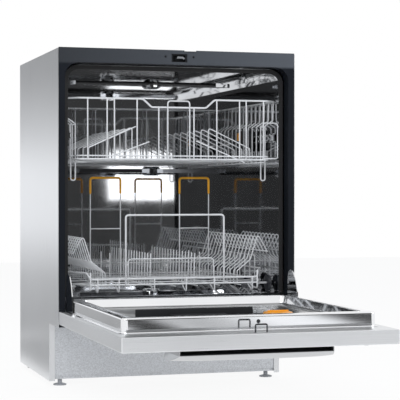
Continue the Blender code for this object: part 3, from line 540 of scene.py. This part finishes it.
def liner_tray():
    """The door's inner liner: rounded loops from its foot over the rolled rim to the dish and the well."""
    roll_r, lip_r = 0.0045, 0.0030
    roll = np.radians(np.linspace(0, 90, 7))[1:]
    fold = np.radians(np.linspace(90, 15, 5))
    # inset of each loop, 1 where its front and back step in further, its height and corner radius
    stations = [(-0.0058, 0, 0.1919, 0.016), (-0.0060, 0, 0.1922, 0.016), (-0.0056, 0, 0.1924, 0.016),
                (-0.0010, 0, 0.1924, 0.013), (-0.0002, 0, 0.1931, 0.0122), (0.0, 0, 0.1942, 0.012),
                (0.0, 0, 0.1947, 0.012), (0.0, 0, 0.2184, 0.012), (0.0, 0, 0.2188, 0.012)]
    stations += [(roll_r * (1 - math.cos(a)), 0, LINER_TOP - roll_r * (1 - math.sin(a)),
                  0.012 - 0.0025 * (1 - math.cos(a))) for a in roll]
    stations += [(0.0218 + lip_r * math.cos(a), 1, LINER_TOP - lip_r * (1 - math.sin(a)), 0.015)
                 for a in fold]
    stations += [(0.0290, 1, 0.2065, 0.014), (0.0300, 1, 0.2045, 0.013), (0.0320, 1, 0.2030, 0.012),
                 (0.0345, 1, DISH_Z, 0.011)]
    outlines = []
    for inset, inner, z, radius in stations:
        front, back = LINER_FRONT + inset - 0.004 * inner, LINER_BACK - inset - 0.020 * inner
        outlines.append((z, rounded_loop(inset - LINER_X, LINER_X - inset, front, back, radius)))
    x0, x1, y0, y1 = WELL
    for grow, z in ((0.0040, DISH_Z), (0.0026, 0.2019), (0.0022, 0.1941)):
        outlines.append((z, rounded_loop(x0 - grow, x1 + grow, y0 - grow, y1 + grow, 0.006)))
    points = np.array([np.column_stack([loop, np.full(len(loop), z)]) for z, loop in outlines])
    return points.reshape(-1, 3), capped(*points.shape[:2])


def liner_beads():
    """Two pressed beads along the dish: arches z = h cos(u) from front to back with tapered ends."""
    front, back, taper = -0.502, -0.098, 0.012
    v = np.linspace(front, back, 24)
    ease = np.clip(np.minimum(v - front, back - v) / taper, 0, 1) ** 0.5
    u = np.linspace(-math.pi / 2, math.pi / 2, 7)
    shapes = []
    for sign in (-1, 1):
        width = 0.0036 * (0.25 + 0.75 * ease)[:, None]
        px = sign * 0.2295 + width * np.sin(u)
        pz = 0.2024 + 0.0016 * ease[:, None] * np.cos(u)
        points = np.stack([px, v[:, None] + 0 * u, pz], -1)
        shapes.append((points.reshape(-1, 3), capped(len(v), len(u))))
    return joined(shapes)


def dispenser_rim():
    """Raised guides of the dispenser: domed bars behind and before the lid, open where the lid slides."""
    def dome(y0, y1, top):
        return [(y0, 0.2030), (y0, top - 0.0036), (y0 * 0.8 + y1 * 0.2, top - 0.0012),
                (y0 * 0.5 + y1 * 0.5, top), (y0 * 0.2 + y1 * 0.8, top - 0.0012), (y1, top - 0.0036),
                (y1, 0.2030)]

    return joined([carried(dome(-0.3622, -0.3575, 0.2240), (-0.2020, 0.0640)),
                   carried(dome(-0.4825, -0.4780, 0.2180), (-0.1326, 0.0560))])


def grip_lip():
    """The grip under the face: one section, bowed in height, widened below and carried across."""
    t = np.linspace(-1, 1, 33)
    bow = (1 - t ** 4) * 0.0020 + (1 - np.abs(t) ** 12) * 0.0015
    # y and z of each corner, how much wider the grip is there and its share of the bow
    section = [(GRIP_FRONT, 0.1464, 0.0, 0.0), (-0.5812, 0.1452, 0.0004, 0.2), (-0.5640, 0.1385, 0.0060, 0.9),
               (-0.5480, 0.1348, 0.0110, 1.0), (-0.5300, 0.1342, 0.0120, 1.0), (-0.5000, 0.1360, 0.0100, 0.8),
               (-0.4900, 0.1420, 0.0040, 0.3), (-0.4900, DOOR_FACE_Z, 0.0, 0.0),
               (-0.5150, DOOR_FACE_Z, -0.0016, 0.0), (-0.5150, 0.1466, -0.0016, 0.0),
               (-0.5800, 0.1466, -0.0016, 0.0)]
    y, z, flare, share = np.array(section).T
    points = np.stack([t[:, None] * (GRIP_X + flare), 0 * t[:, None] + y, z - bow[:, None] * share], -1)
    shapes = [(points.reshape(-1, 3), capped(len(t), len(section)))]
    cheek = np.array([(-GRIP_X, GRIP_FRONT, DOOR_FACE_Z), (-0.1664, GRIP_FRONT, DOOR_FACE_Z),
                      (-0.1664, -0.5150, DOOR_FACE_Z), (-GRIP_X, -0.5150, DOOR_FACE_Z)])
    for sign in (-1, 1):
        top = cheek * (-sign, 1, 1)
        low = top * (1, 1, 0) + (0, 0, 0.1462)
        shapes.append((np.vstack([low, top]), [[0, 1, 2, 3], [4, 5, 6, 7]] + grid_faces(2, 4)))
    return joined(shapes)


def grip_liner():
    """Black inner tray of the grip: an L-shaped sheet carried across, with a cheek at each end."""
    w = 0.0010
    y0, y1, z0, z1 = -0.5812, -0.5156, 0.1469, 0.1604
    sheet = [(y0, z0), (y1, z0), (y1, z1), (y1 - w, z1), (y1 - w, z0 + w), (y0, z0 + w)]
    shapes = [carried(sheet, (-0.1660, 0.1660))]
    cheek = [(y0, z0 + w), (y1 - w, z0 + w), (y1 - w, z1), (y0, z1)]
    for sign in (-1, 1):
        shapes.append(carried(cheek, sorted((sign * 0.1660, sign * 0.1650))))
    return joined(shapes)


def rim_clip():
    """Black clip on the outer face of the upper rack's left side: two hooks on the rim, an open frame."""
    x, z = -UPPER_RIM_X, UPPER_RIM_Z
    hook = [(x - 0.0040, z - 0.008), (x - 0.0040, z + 0.0024), (x - 0.0022, z + 0.0042),
            (x + 0.0036, z + 0.0042), (x + 0.0036, z - 0.001), (x + 0.0024, z - 0.001),
            (x + 0.0024, z + 0.0024), (x - 0.0024, z + 0.0024), (x - 0.0028, z - 0.008)]
    shapes = [carried(hook, (0.068, 0.092), "y"), carried(hook, (0.112, 0.150), "y")]
    for y0, y1, z0, z1 in ((0.068, 0.150, 0.6960, 0.7000), (0.128, 0.150, 0.6780, 0.6965),
                           (0.068, 0.150, 0.6770, 0.6825), (0.068, 0.076, 0.6820, 0.6965)):
        bar = [(x - 0.0044, z0), (x - 0.0020, z0), (x - 0.0020, z1), (x - 0.0044, z1)]
        shapes.append(carried(bar, (y0, y1), "y"))
    return joined(shapes)


# ---------------------------------------------------------------- racks
def sizes():
    return bpy.context.scene.dishwasher_sizes


class WireRack:
    """Collects the wires of one rack."""

    def __init__(self):
        self.wires = []

    def wire(self, *points, r=None, bend=None, closed=False):
        s = sizes()
        path = bent(points, s.bend if bend is None else bend, 5, closed)
        self.wires.append(tube(path, r or s.wire, s.sides, closed))

    def mirrored(self, *points, **kind):
        for sign in (-1, 1):
            self.wire(*[(sign * x, y, z) for x, y, z in points], **kind)


def lower_half(y):
    """Half width of the lower rack, which narrows in a straight line towards its front."""
    near = min(1.0, (y - LOWER_Y0) / (LOWER_CORNER_Y - LOWER_Y0))
    return LOWER_FRONT_X + (LOWER_X - LOWER_FRONT_X) * near


def lower_rack_wires():
    """Rings, posts, floor grid, rows of supports, the tall front loop and the wheel stubs."""
    s = sizes()
    rack = WireRack()
    a, x, y0, yc, y1 = LOWER_FRONT_X, LOWER_X, LOWER_Y0, LOWER_CORNER_Y, LOWER_Y1
    top, shoulder, mid, front, low, floor, foot = 0.3110, 0.3260, 0.2790, 0.2640, 0.2500, 0.2440, 0.2360
    rack.wire((-a, y0, low), (a, y0, low), (x, yc, low), (x, y1, low), (-x, y1, low), (-x, yc, low),
              r=s.rim, bend=0.018, closed=True)
    rack.wire((-a, y0, front), (a, y0, front), (a + 0.006, y0 + 0.012, mid), (x, yc, mid), (x, y1, mid),
              (-x, y1, mid), (-x, yc, mid), (-a - 0.006, y0 + 0.012, mid), r=s.rim, bend=0.010, closed=True)
    rack.mirrored((a, y0 - 0.0012, mid + 0.002), (a, y0 - 0.0012, foot),
                  (a - 0.004, y0 + 0.018, foot + 0.001), (a - 0.008, y0 + 0.036, floor + 0.003),
                  bend=0.005, r=0.0022)
    rack.mirrored((x - 0.0006, 0.176, low - 0.0015), (x - 0.0006, 0.176, top), (x - 0.0006, y1 - 0.014, top),
                  (x - 0.0006, y1 - 0.014, low - 0.0015), bend=0.010)
    for py in (0.2150, 0.2550, 0.2975, 0.3400, 0.3850, 0.4300):
        rack.mirrored((x - 0.0009, py, low - 0.0015), (x - 0.0009, py, top + 0.0012))
    for fx in 0.170 * (np.arange(7) / 3 - 1):
        rack.wire((fx, y0 - 0.001, floor + 0.0005), (fx, y1 + 0.001, floor + 0.0005), r=0.0016)
    for fy in y0 + 0.036 + 0.096 * np.arange(5):
        half = lower_half(fy) + 0.0006
        rack.wire((-half, fy, floor + 0.0028), (half, fy, floor + 0.0028))
    for fx in (-0.195, -0.142, -0.053, 0.028, 0.101, 0.200):
        rack.wire((fx, y0 - 0.0014, front + 0.0015), (fx, y0 - 0.0014, 0.2300), (fx, y0 + 0.020, 0.2380),
                  (fx, y0 + 0.036, floor + 0.003))
    rack.wire((-0.1252, y0 - 0.001, 0.2470), (-0.1252, y0 - 0.001, 0.4195), (0.1252, y0 - 0.001, 0.4195),
              (0.1252, y0 - 0.001, 0.2470), r=s.rim, bend=0.008)
    rack.wire((-0.110, y0 + 0.036, floor + 0.003), (-0.110, y0 + 0.036, 0.3105), (0.110, y0 + 0.036, 0.3105),
              (0.110, y0 + 0.036, floor + 0.003), bend=0.010)
    rack.mirrored((0.2495, 0.060, shoulder), (0.2495, y1 - 0.014, shoulder))
    for fy in 0.066 + 0.0273 * np.arange(16):
        rack.mirrored((0.1700, fy, floor + 0.001), (0.1700, fy, 0.2780), (0.2050, fy, 0.3060),
                      (0.2250, fy, 0.3700), (0.2500, fy, shoulder - 0.0004), r=0.0015)
        rack.mirrored((0.0567, fy, floor + 0.001), (0.0567, fy - 0.007, 0.3250), r=0.0015)
    for wy in WHEEL_YS:
        hold = lower_half(wy)
        rack.mirrored((hold - 0.004, wy, AXLE_Z), (0.2690, wy, AXLE_Z), r=0.0030)
        rack.mirrored((hold - 0.0004, wy, 0.2520), (hold - 0.0004, wy, 0.2400), r=0.0034)
    return joined(rack.wires)


def upper_rack_wires():
    """Flared rim with a dip at the front, stepped sides, floor grid, sloping supports and hanging legs."""
    s = sizes()
    rack = WireRack()
    y0, y1, xt, xb = UPPER_Y0, UPPER_Y1, UPPER_RIM_X, UPPER_X
    top, dip, step, floor = UPPER_RIM_Z, 0.683, 0.648, 0.556
    rack.wire((-xt, y0 + 0.025, top), (-xt + 0.025, y0, top), (-0.082, y0, top), (-0.060, y0, dip),
              (0.079, y0, dip), (0.101, y0, top), (xt - 0.025, y0, top), (xt, y0 + 0.025, top),
              (xt, y1, top), (-xt, y1, top), r=s.rim, bend=0.012, closed=True)
    for z, r in ((floor, 0.0022), (0.5640, 0.0018)):
        rack.wire((-xb, y0, z), (xb, y0, z), (xb, y1, z), (-xb, y1, z), r=r, bend=0.016, closed=True)
    for fx in (-0.2200, -0.1718, -0.1538, -0.0969, -0.0423, 0.0475, 0.1065, 0.1659, 0.1833, 0.2288):
        high = dip if -0.055 < fx < 0.075 else top
        rack.wire((fx, y0 - 0.0012, floor - 0.001), (fx, y0 - 0.0012, high + 0.0008))
    for fx in (-0.2200, -0.1538, -0.0969, -0.0423, 0.0475, 0.1065, 0.1659, 0.2288):
        rack.wire((fx, y1 + 0.0010, floor - 0.001), (fx, y1 + 0.0010, top + 0.0008))
    rack.wire((-0.0195, y0 - 0.0014, floor - 0.001), (-0.0195, y0 - 0.0014, 0.699),
              (0.0365, y0 - 0.0014, 0.699), (0.0365, y0 - 0.0014, floor - 0.001), bend=0.008)
    for fy in y0 + 0.030 + (y1 - y0 - 0.060) * np.arange(13) / 12:
        rack.mirrored((xt + 0.0006, fy, top + 0.0008), (xt - 0.0006, fy, step + 0.008),
                      (xb - 0.001, fy, step - 0.006), (xb - 0.001, fy, floor - 0.006),
                      (0.2150, fy, floor - 0.0075), r=0.0016)
    for fx in 0.208 * (np.arange(7) / 3 - 1):
        rack.wire((fx, y0 - 0.001, floor - 0.0022), (fx, y1 + 0.001, floor - 0.0022), r=0.0016)
    for k in range(8):
        fy = y0 + 0.040 + 0.05370 * k
        rack.wire((-xb - 0.001, fy, floor - 0.0005), (xb + 0.001, fy, floor - 0.0005), r=0.0016)
    for fy in y0 + 0.044 + 0.06265 * np.arange(7):
        rack.mirrored((0.2080, fy, floor - 0.002), (0.2080, fy, 0.5850), (0.0985, fy, 0.6360),
                      (0.0985, fy, 0.5540), (0.2095, fy, 0.5540), r=0.0016)
    for low_x, low_z, high_x, high_z in ((-0.2205, 0.582, -0.0985, 0.636), (-0.152, 0.566, -0.065, 0.599),
                                         (0.181, 0.5485, 0.053, 0.602)):
        rack.wire((low_x, y0 + 0.0018, low_z), (high_x, y0 + 0.0018, high_z), r=0.0016)
    rack.mirrored((0.2511, y0 + 0.050, step - 0.004), (0.2511, y0 + 0.050, 0.5045),
                  (0.2397, y0 + 0.050, 0.5045), (0.2397, y0 + 0.050, step - 0.004), bend=0.0055)
    for z in (0.5645, 0.6405):
        rack.mirrored((0.2515, y0 + 0.050, z), (0.2393, y0 + 0.050, z))
    rack.wire((0.2260, y0 - 0.0005, step), (0.2668, y0 - 0.0005, step), (0.2668, y0 - 0.0005, 0.5590),
              (0.2260, y0 - 0.0005, 0.5590), r=0.0016, bend=0.006)
    return joined(rack.wires)


def insert_wires():
    """The lift-out insert: a wire base, two pairs of uprights and their cross wires."""
    rack = WireRack()
    y, base, r = INSERT_Y, INSERT_Z, 0.0017
    rack.wire((-0.165, y - 0.05, base), (0.165, y - 0.05, base), (0.165, y + 0.05, base),
              (-0.165, y + 0.05, base), r=r, bend=0.010, closed=True)
    for gx in INSERT_GRIP_X:
        rack.mirrored((gx, y, base - 0.001), (gx, y, 0.4700), r=r)
    for fy in (-0.05, 0.05):
        rack.mirrored((0.12, y + fy, base - 0.001), (0.12, y + fy, 0.320), r=r)
    rack.wire((-0.166, y, base + 0.001), (0.166, y, base + 0.001), r=r)
    rack.wire((0, y - 0.051, base + 0.001), (0, y + 0.051, base + 0.001), r=r)
    rack.mirrored((0.1610, y, 0.3800), (0.0790, y, 0.3800), r=r)
    rack.mirrored((0.12, y - 0.051, base + 0.001), (0.12, y + 0.051, base + 0.001), r=r)
    return joined(rack.wires)


# ---------------------------------------------------------------- studio
# cards that only reflections see: name, corner, one edge, other edge, the axis of the shading and
# its stops (place on that axis, brightness)
CARDS = (
    ("card_front", (-3.4, -4.5, 0.02), (7.4, 0, 0), (0, 0, 2.3), "X",
     ((-3.4, 0.02), (0.55, 0.05), (1.10, 0.04), (1.85, 0.06), (4.0, 0.02))),
    ("card_strip", (1.05, -4.48, 0.41), (0.80, 0, 0), (0, 0, 0.31), "X",
     ((1.05, 0.05), (1.11, 0.08), (1.13, 2.0), (1.52, 1.9), (1.64, 0.6), (1.85, 0.04))),
    ("card_floor", (0.05, -3.3, 0.004), (1.33, 0, 0), (0, 1.5, 0), "X",
     ((0.05, 1.0), (0.20, 1.0), (0.25, 0.02), (0.35, 0.02), (0.43, 0.66), (0.51, 0.52), (0.64, 0.60),
      (0.80, 1.06), (0.99, 1.08), (1.10, 0.03), (1.38, 0.03))),
    ("card_left", (-1.7, 1.25, 0.02), (1.34, 0, 0), (0, 0, 1.5), "Z",
     ((0.02, 0.38), (0.20, 0.52), (0.36, 1.02), (0.54, 1.06), (0.68, 0.64), (0.84, 0.36), (1.52, 0.30))),
    ("card_left_floor", (-1.7, 0.20, 0.004), (1.34, 0, 0), (0, 1.04, 0), "Y",
     ((0.20, 0.36), (1.24, 0.40))),
)


def seen_directly(nodes):
    """1 for camera, glossy and transmission rays, which see the plain white background."""
    camera, glossy, through = [nodes.add("ShaderNodeLightPath", out="Is %s Ray" % kind)
                               for kind in ("Camera", "Glossy", "Transmission")]
    return nodes.maths("MAXIMUM", nodes.maths("MAXIMUM", camera, glossy), through)


def place_camera(scene):
    """The camera that the photograph was taken with, as far as a pinhole camera can be fitted to it."""
    camera = bpy.data.cameras.new("camera")
    camera.sensor_width = SENSOR_MM
    camera.lens = FOCAL_PX / PHOTO_PX * SENSOR_MM
    camera.clip_end = 50.0
    eye = bpy.data.objects.new("camera", camera)
    eye.location = (EYE[0], EYE[1] + FRONT_Y, EYE[2])
    look = Vector((math.sin(YAW) * math.cos(PITCH), math.cos(YAW) * math.cos(PITCH), math.sin(PITCH)))
    eye.rotation_euler = look.to_track_quat("-Z", "Y").to_euler()
    scene.collection.objects.link(eye)
    scene.camera = eye


def light_world(scene):
    """A soft bluish sky for what is lit, and plain white for what is seen."""
    world = bpy.data.worlds.new("studio")
    scene.world = world
    world.use_nodes = True
    world.node_tree.nodes.clear()
    nodes = Nodes(world.node_tree)
    soft = nodes.add("ShaderNodeBackground", None, {"Color": (0.86, 0.90, 0.96, 1), "Strength": 0.70})
    plain = nodes.add("ShaderNodeBackground", None, {"Color": (1, 1, 1, 1), "Strength": 1.0})
    chosen = nodes.add("ShaderNodeMixShader", None, {0: seen_directly(nodes), 1: soft, 2: plain})
    nodes.add("ShaderNodeOutputWorld", None, {"Surface": chosen})


def lay_floor(scene):
    """A pale floor that takes the shadow; its own glow makes it nearly as white as the background."""
    span = np.linspace(-6, 6, 3)
    gx, gy = np.meshgrid(span, span, indexing="ij")
    mesh = bpy.data.meshes.new("floor")
    mesh.from_pydata(np.stack([gx, gy, 0 * gx - 0.0006], -1).reshape(-1, 3).tolist(), [],
                     grid_faces(3, 3, False, False))
    floor = bpy.data.objects.new("floor", mesh)
    scene.collection.objects.link(floor)
    made = Finish("floor", scene.dishwasher_colours.backdrop, 0.6, 0.0, {"Specular IOR Level": 0.0})
    made.set("Base Color", made.blend(made.noise(1.5, 2.0), shade(made.base, 0.985), made.base))
    glow = made.add("ShaderNodeEmission", None, {"Color": (1, 1, 1, 1)})
    matt = Signal(made, made.shader.outputs[0])
    lit = made.add("ShaderNodeMixShader", None, {0: seen_directly(made) * 0.90, 1: matt, 2: glow})
    made.feed(made.tree.nodes["Material Output"].inputs["Surface"], lit)
    mesh.materials.append(made.material)


def hang_cards(scene):
    """Bright cards with shaded stops, which only reflections see."""
    for name, corner, across, up, axis, stops in CARDS:
        mesh = bpy.data.meshes.new(name)
        corner, across, up = np.array(corner), np.array(across), np.array(up)
        points = np.array([corner, corner + across, corner + across + up, corner + up]) + (0, FRONT_Y, 0)
        mesh.from_pydata(points.tolist(), [], [(0, 1, 2, 3)])
        card = bpy.data.objects.new(name, mesh)
        scene.collection.objects.link(card)
        made = Finish(name, (0, 0, 0), 1.0, 0.0, {"Specular IOR Level": 0.0, "Emission Strength": 1.0})
        low, high = stops[0][0], stops[-1][0]
        place = made.remap(made.axis(axis), low, high, 0.0, 1.0)
        ramp = [((at - low) / (high - low), (v, v * 1.01, v * 1.03, 1.0)) for at, v in stops]
        made.set("Emission Color", made.add("ShaderNodeValToRGB", {"stops": ramp}, {0: place}))
        mesh.materials.append(made.material)
        for kind in ("camera", "diffuse", "transmission", "volume_scatter", "shadow"):
            setattr(card, "visible_" + kind, False)


def hang_lamps(scene):
    """Three square area lamps; the one overhead isn't mirrored, so that level steel keeps its shade."""
    for name, place, aim, size, power in (("key", (-1.8, -2.8, 2.4), (0, 0, 0.4), 2.0, 52.0),
                                          ("fill", (2.6, -1.9, 1.6), (0, 0, 0.4), 2.0, 22.0),
                                          ("top", (0.0, 0.1, 3.0), (0, 0, 0.3), 2.6, 20.0)):
        lamp = bpy.data.lights.new(name, "AREA")
        lamp.shape, lamp.size, lamp.size_y, lamp.energy = "RECTANGLE", size, size, power
        holder = bpy.data.objects.new(name, lamp)
        holder.location = place
        holder.rotation_euler = (Vector(aim) - Vector(place)).to_track_quat("-Z", "Y").to_euler()
        holder.visible_glossy = name != "top"
        scene.collection.objects.link(holder)


# ---------------------------------------------------------------- operators
class DISHWASHER_OT_stage(bpy.types.Operator):
    """Camera at the photograph's angle, pale floor and soft studio light"""
    bl_idname = "dishwasher.stage"
    bl_label = "Stage"

    def execute(self, context):
        context.scene.view_settings.view_transform = "Standard"
        for step in (place_camera, light_world, lay_floor, hang_cards, hang_lamps):
            step(context.scene)
        return {"FINISHED"}


class DISHWASHER_OT_cabinet(bpy.types.Operator):
    """Finishes of the cabinet and the small fasteners on its front frame"""
    bl_idname = "dishwasher.cabinet"
    bl_label = "Cabinet"

    def execute(self, context):
        dress("steel_side", "side_panel_left", "side_panel_right")
        dress("steel_top", "top_cover")
        dress("slate", "front_frame")
        dress("zinc", "back_panel", "base_pan", "plinth_panel")
        dress("polish", "tub", "rack_rail_left", "rack_rail_right", "middle_rail_left", "middle_rail_right",
              "flow_heater")
        dress("rubber", "door_seal")
        dress("matt_black", "lock_catch")
        dress("black", "softener_cap", "circulation_pump", "drain_pump", "inlet_valve")
        dress("grey", "sump", "filter")
        dress("grey", "foot_front_left", "foot_front_right", "foot_back_left", "foot_back_right")
        heads = [screw_head(x, 0.0, z, 0.0026) for x, z in FASCIA_SCREWS]
        piece("fascia_screws", joined(heads), "matt_black", "cabinet")
        catch_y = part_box("lock_catch")[0][1] - FRONT_Y
        latch = [(-0.0063, 0.8010), (-0.0040, 0.8003), (0.0080, 0.8005), (0.0115, 0.7985), (0.0150, 0.8010),
                 (0.0095, 0.8050), (-0.0035, 0.8055)]
        piece("latch_bar", carried(latch, (catch_y - 0.0010, catch_y + 0.0002), "y"), "latch_grey", "cabinet")
        return {"FINISHED"}


class DISHWASHER_OT_door(bpy.types.Operator):
    """Finishes of the door"""
    bl_idname = "dishwasher.door"
    bl_label = "Door"

    def execute(self, context):
        dress("steel_across", "door_outer_panel")
        piece("liner_tray", liner_tray(), "liner", "door", ("door_liner",),
              sharp=math.radians(50))
        piece("liner_beads", liner_beads(), "liner", "door")
        piece("grip_lip", grip_lip(), "grip_steel", "door", ("door_handle",),
              sharp=math.radians(30))
        dress("polish", "hinge_cheek_left", "hinge_cheek_right")
        dress("black", "control_fascia")
        dress("matt_black", "dispenser_body", "dispenser_lid")
        piece("dispenser_rim", dispenser_rim(), "matt_black", "door")
        dress("glass", "display_window")
        dress("blackened", "lock_strike")
        dress("orange", "rinse_aid_cap")
        dress("grey", "power_button", "start_button")
        piece("strike_screw", screw_head(0.0125, LINER_FRONT, 0.2095, 0.0044), "blackened", "door")
        piece("grip_liner", grip_liner(), "black", "door", sharp=math.radians(30))
        return {"FINISHED"}


class DISHWASHER_OT_racks(bpy.types.Operator):
    """Coated wire racks, the plate insert and its grips"""
    bl_idname = "dishwasher.racks"
    bl_label = "Wire racks"

    def execute(self, context):
        for wires, body, node in ((lower_rack_wires, "lower_rack", "lower_rack_frame"),
                                  (upper_rack_wires, "upper_rack", "upper_rack_frame"),
                                  (insert_wires, "lower_rack", "plate_insert")):
            piece(wires.__name__, wires(), "coating", body, (node,), weld=False)
        inner, outer = INSERT_GRIP_X
        for side, sx in SIDES:
            path = bent([(sx * inner, INSERT_Y, 0.4703), (sx * inner, INSERT_Y, 0.5120),
                         (sx * outer, INSERT_Y, 0.5120), (sx * outer, INSERT_Y, 0.4703)], 0.008, 8)
            piece("grip_" + side, tube(path, 0.0030, 20), "yellow", "lower_rack",
                  ("insert_grip_" + side,))
        piece("rim_clip", rim_clip(), "matt_black", "upper_rack",
              sharp=math.radians(30))
        dress("black", "carriage_left", "carriage_right")
        dress("orange", "height_lever_left", "height_lever_right")
        return {"FINISHED"}


class DISHWASHER_OT_wheels(bpy.types.Operator):
    """Rack wheels with a rounded tread, a dished face and a hub"""
    bl_idname = "dishwasher.wheels"
    bl_label = "Rack wheels"

    def execute(self, context):
        r = WHEEL_R
        profile = [(0.0036, 0.0042), (0.0058, 0.0044), (0.0066, 0.0032), (0.0140, 0.0026), (0.0150, 0.0040),
                   (0.0180, 0.0043), (r - 0.0006, 0.0038), (r, 0.0026), (r, -0.0026), (r - 0.0006, -0.0038),
                   (0.0180, -0.0042), (0.0036, -0.0042), (0.0036, 0.0042)]
        for side, sx in SIDES:
            for number, y in enumerate(WHEEL_YS, 1):
                points, faces = turned([(a, sx * b) for a, b in profile], (sx * WHEEL_X, y, AXLE_Z), "x", 40)
                name = "%s_%d" % (side, number)
                piece("wheel_" + name, (points, faces), "wheel", "wheel_" + name, ("rack_wheel_" + name,))
        return {"FINISHED"}


class DISHWASHER_OT_arms(bpy.types.Operator):
    """Finishes of the three spray arms"""
    bl_idname = "dishwasher.arms"
    bl_label = "Spray arms"

    def execute(self, context):
        dress("chrome", "spray_arm_top", "spray_arm_lower")
        dress("smoked", "spray_arm_middle")
        return {"FINISHED"}


class DISHWASHER_PT_panel(bpy.types.Panel):
    """Lists the dishwasher's pieces"""
    bl_idname = "DISHWASHER_PT_panel"
    bl_label = "Dishwasher"
    bl_space_type = "VIEW_3D"
    bl_region_type = "UI"
    bl_category = "Dishwasher"

    def draw(self, context):
        for step in STEPS:
            self.layout.operator(step.bl_idname)
        for key in ("wire", "rim", "bend", "sides"):
            self.layout.prop(context.scene.dishwasher_sizes, key)
        for key in DishwasherColours.__annotations__:
            self.layout.prop(context.scene.dishwasher_colours, key)


STEPS = (DISHWASHER_OT_stage, DISHWASHER_OT_cabinet, DISHWASHER_OT_door, DISHWASHER_OT_racks,
         DISHWASHER_OT_wheels, DISHWASHER_OT_arms)
CLASSES = (DishwasherSizes, DishwasherColours, *STEPS, DISHWASHER_PT_panel)


def register():
    for cls in CLASSES:
        bpy.utils.register_class(cls)
    bpy.types.Scene.dishwasher_sizes = PointerProperty(type=DishwasherSizes)
    bpy.types.Scene.dishwasher_colours = PointerProperty(type=DishwasherColours)


def unregister():
    del bpy.types.Scene.dishwasher_colours
    del bpy.types.Scene.dishwasher_sizes
    for cls in reversed(CLASSES):
        bpy.utils.unregister_class(cls)


def main():
    register()
    for step in STEPS:
        group, name = step.bl_idname.split(".")
        getattr(getattr(bpy.ops, group), name)()


if __name__ == "__main__":
    main()
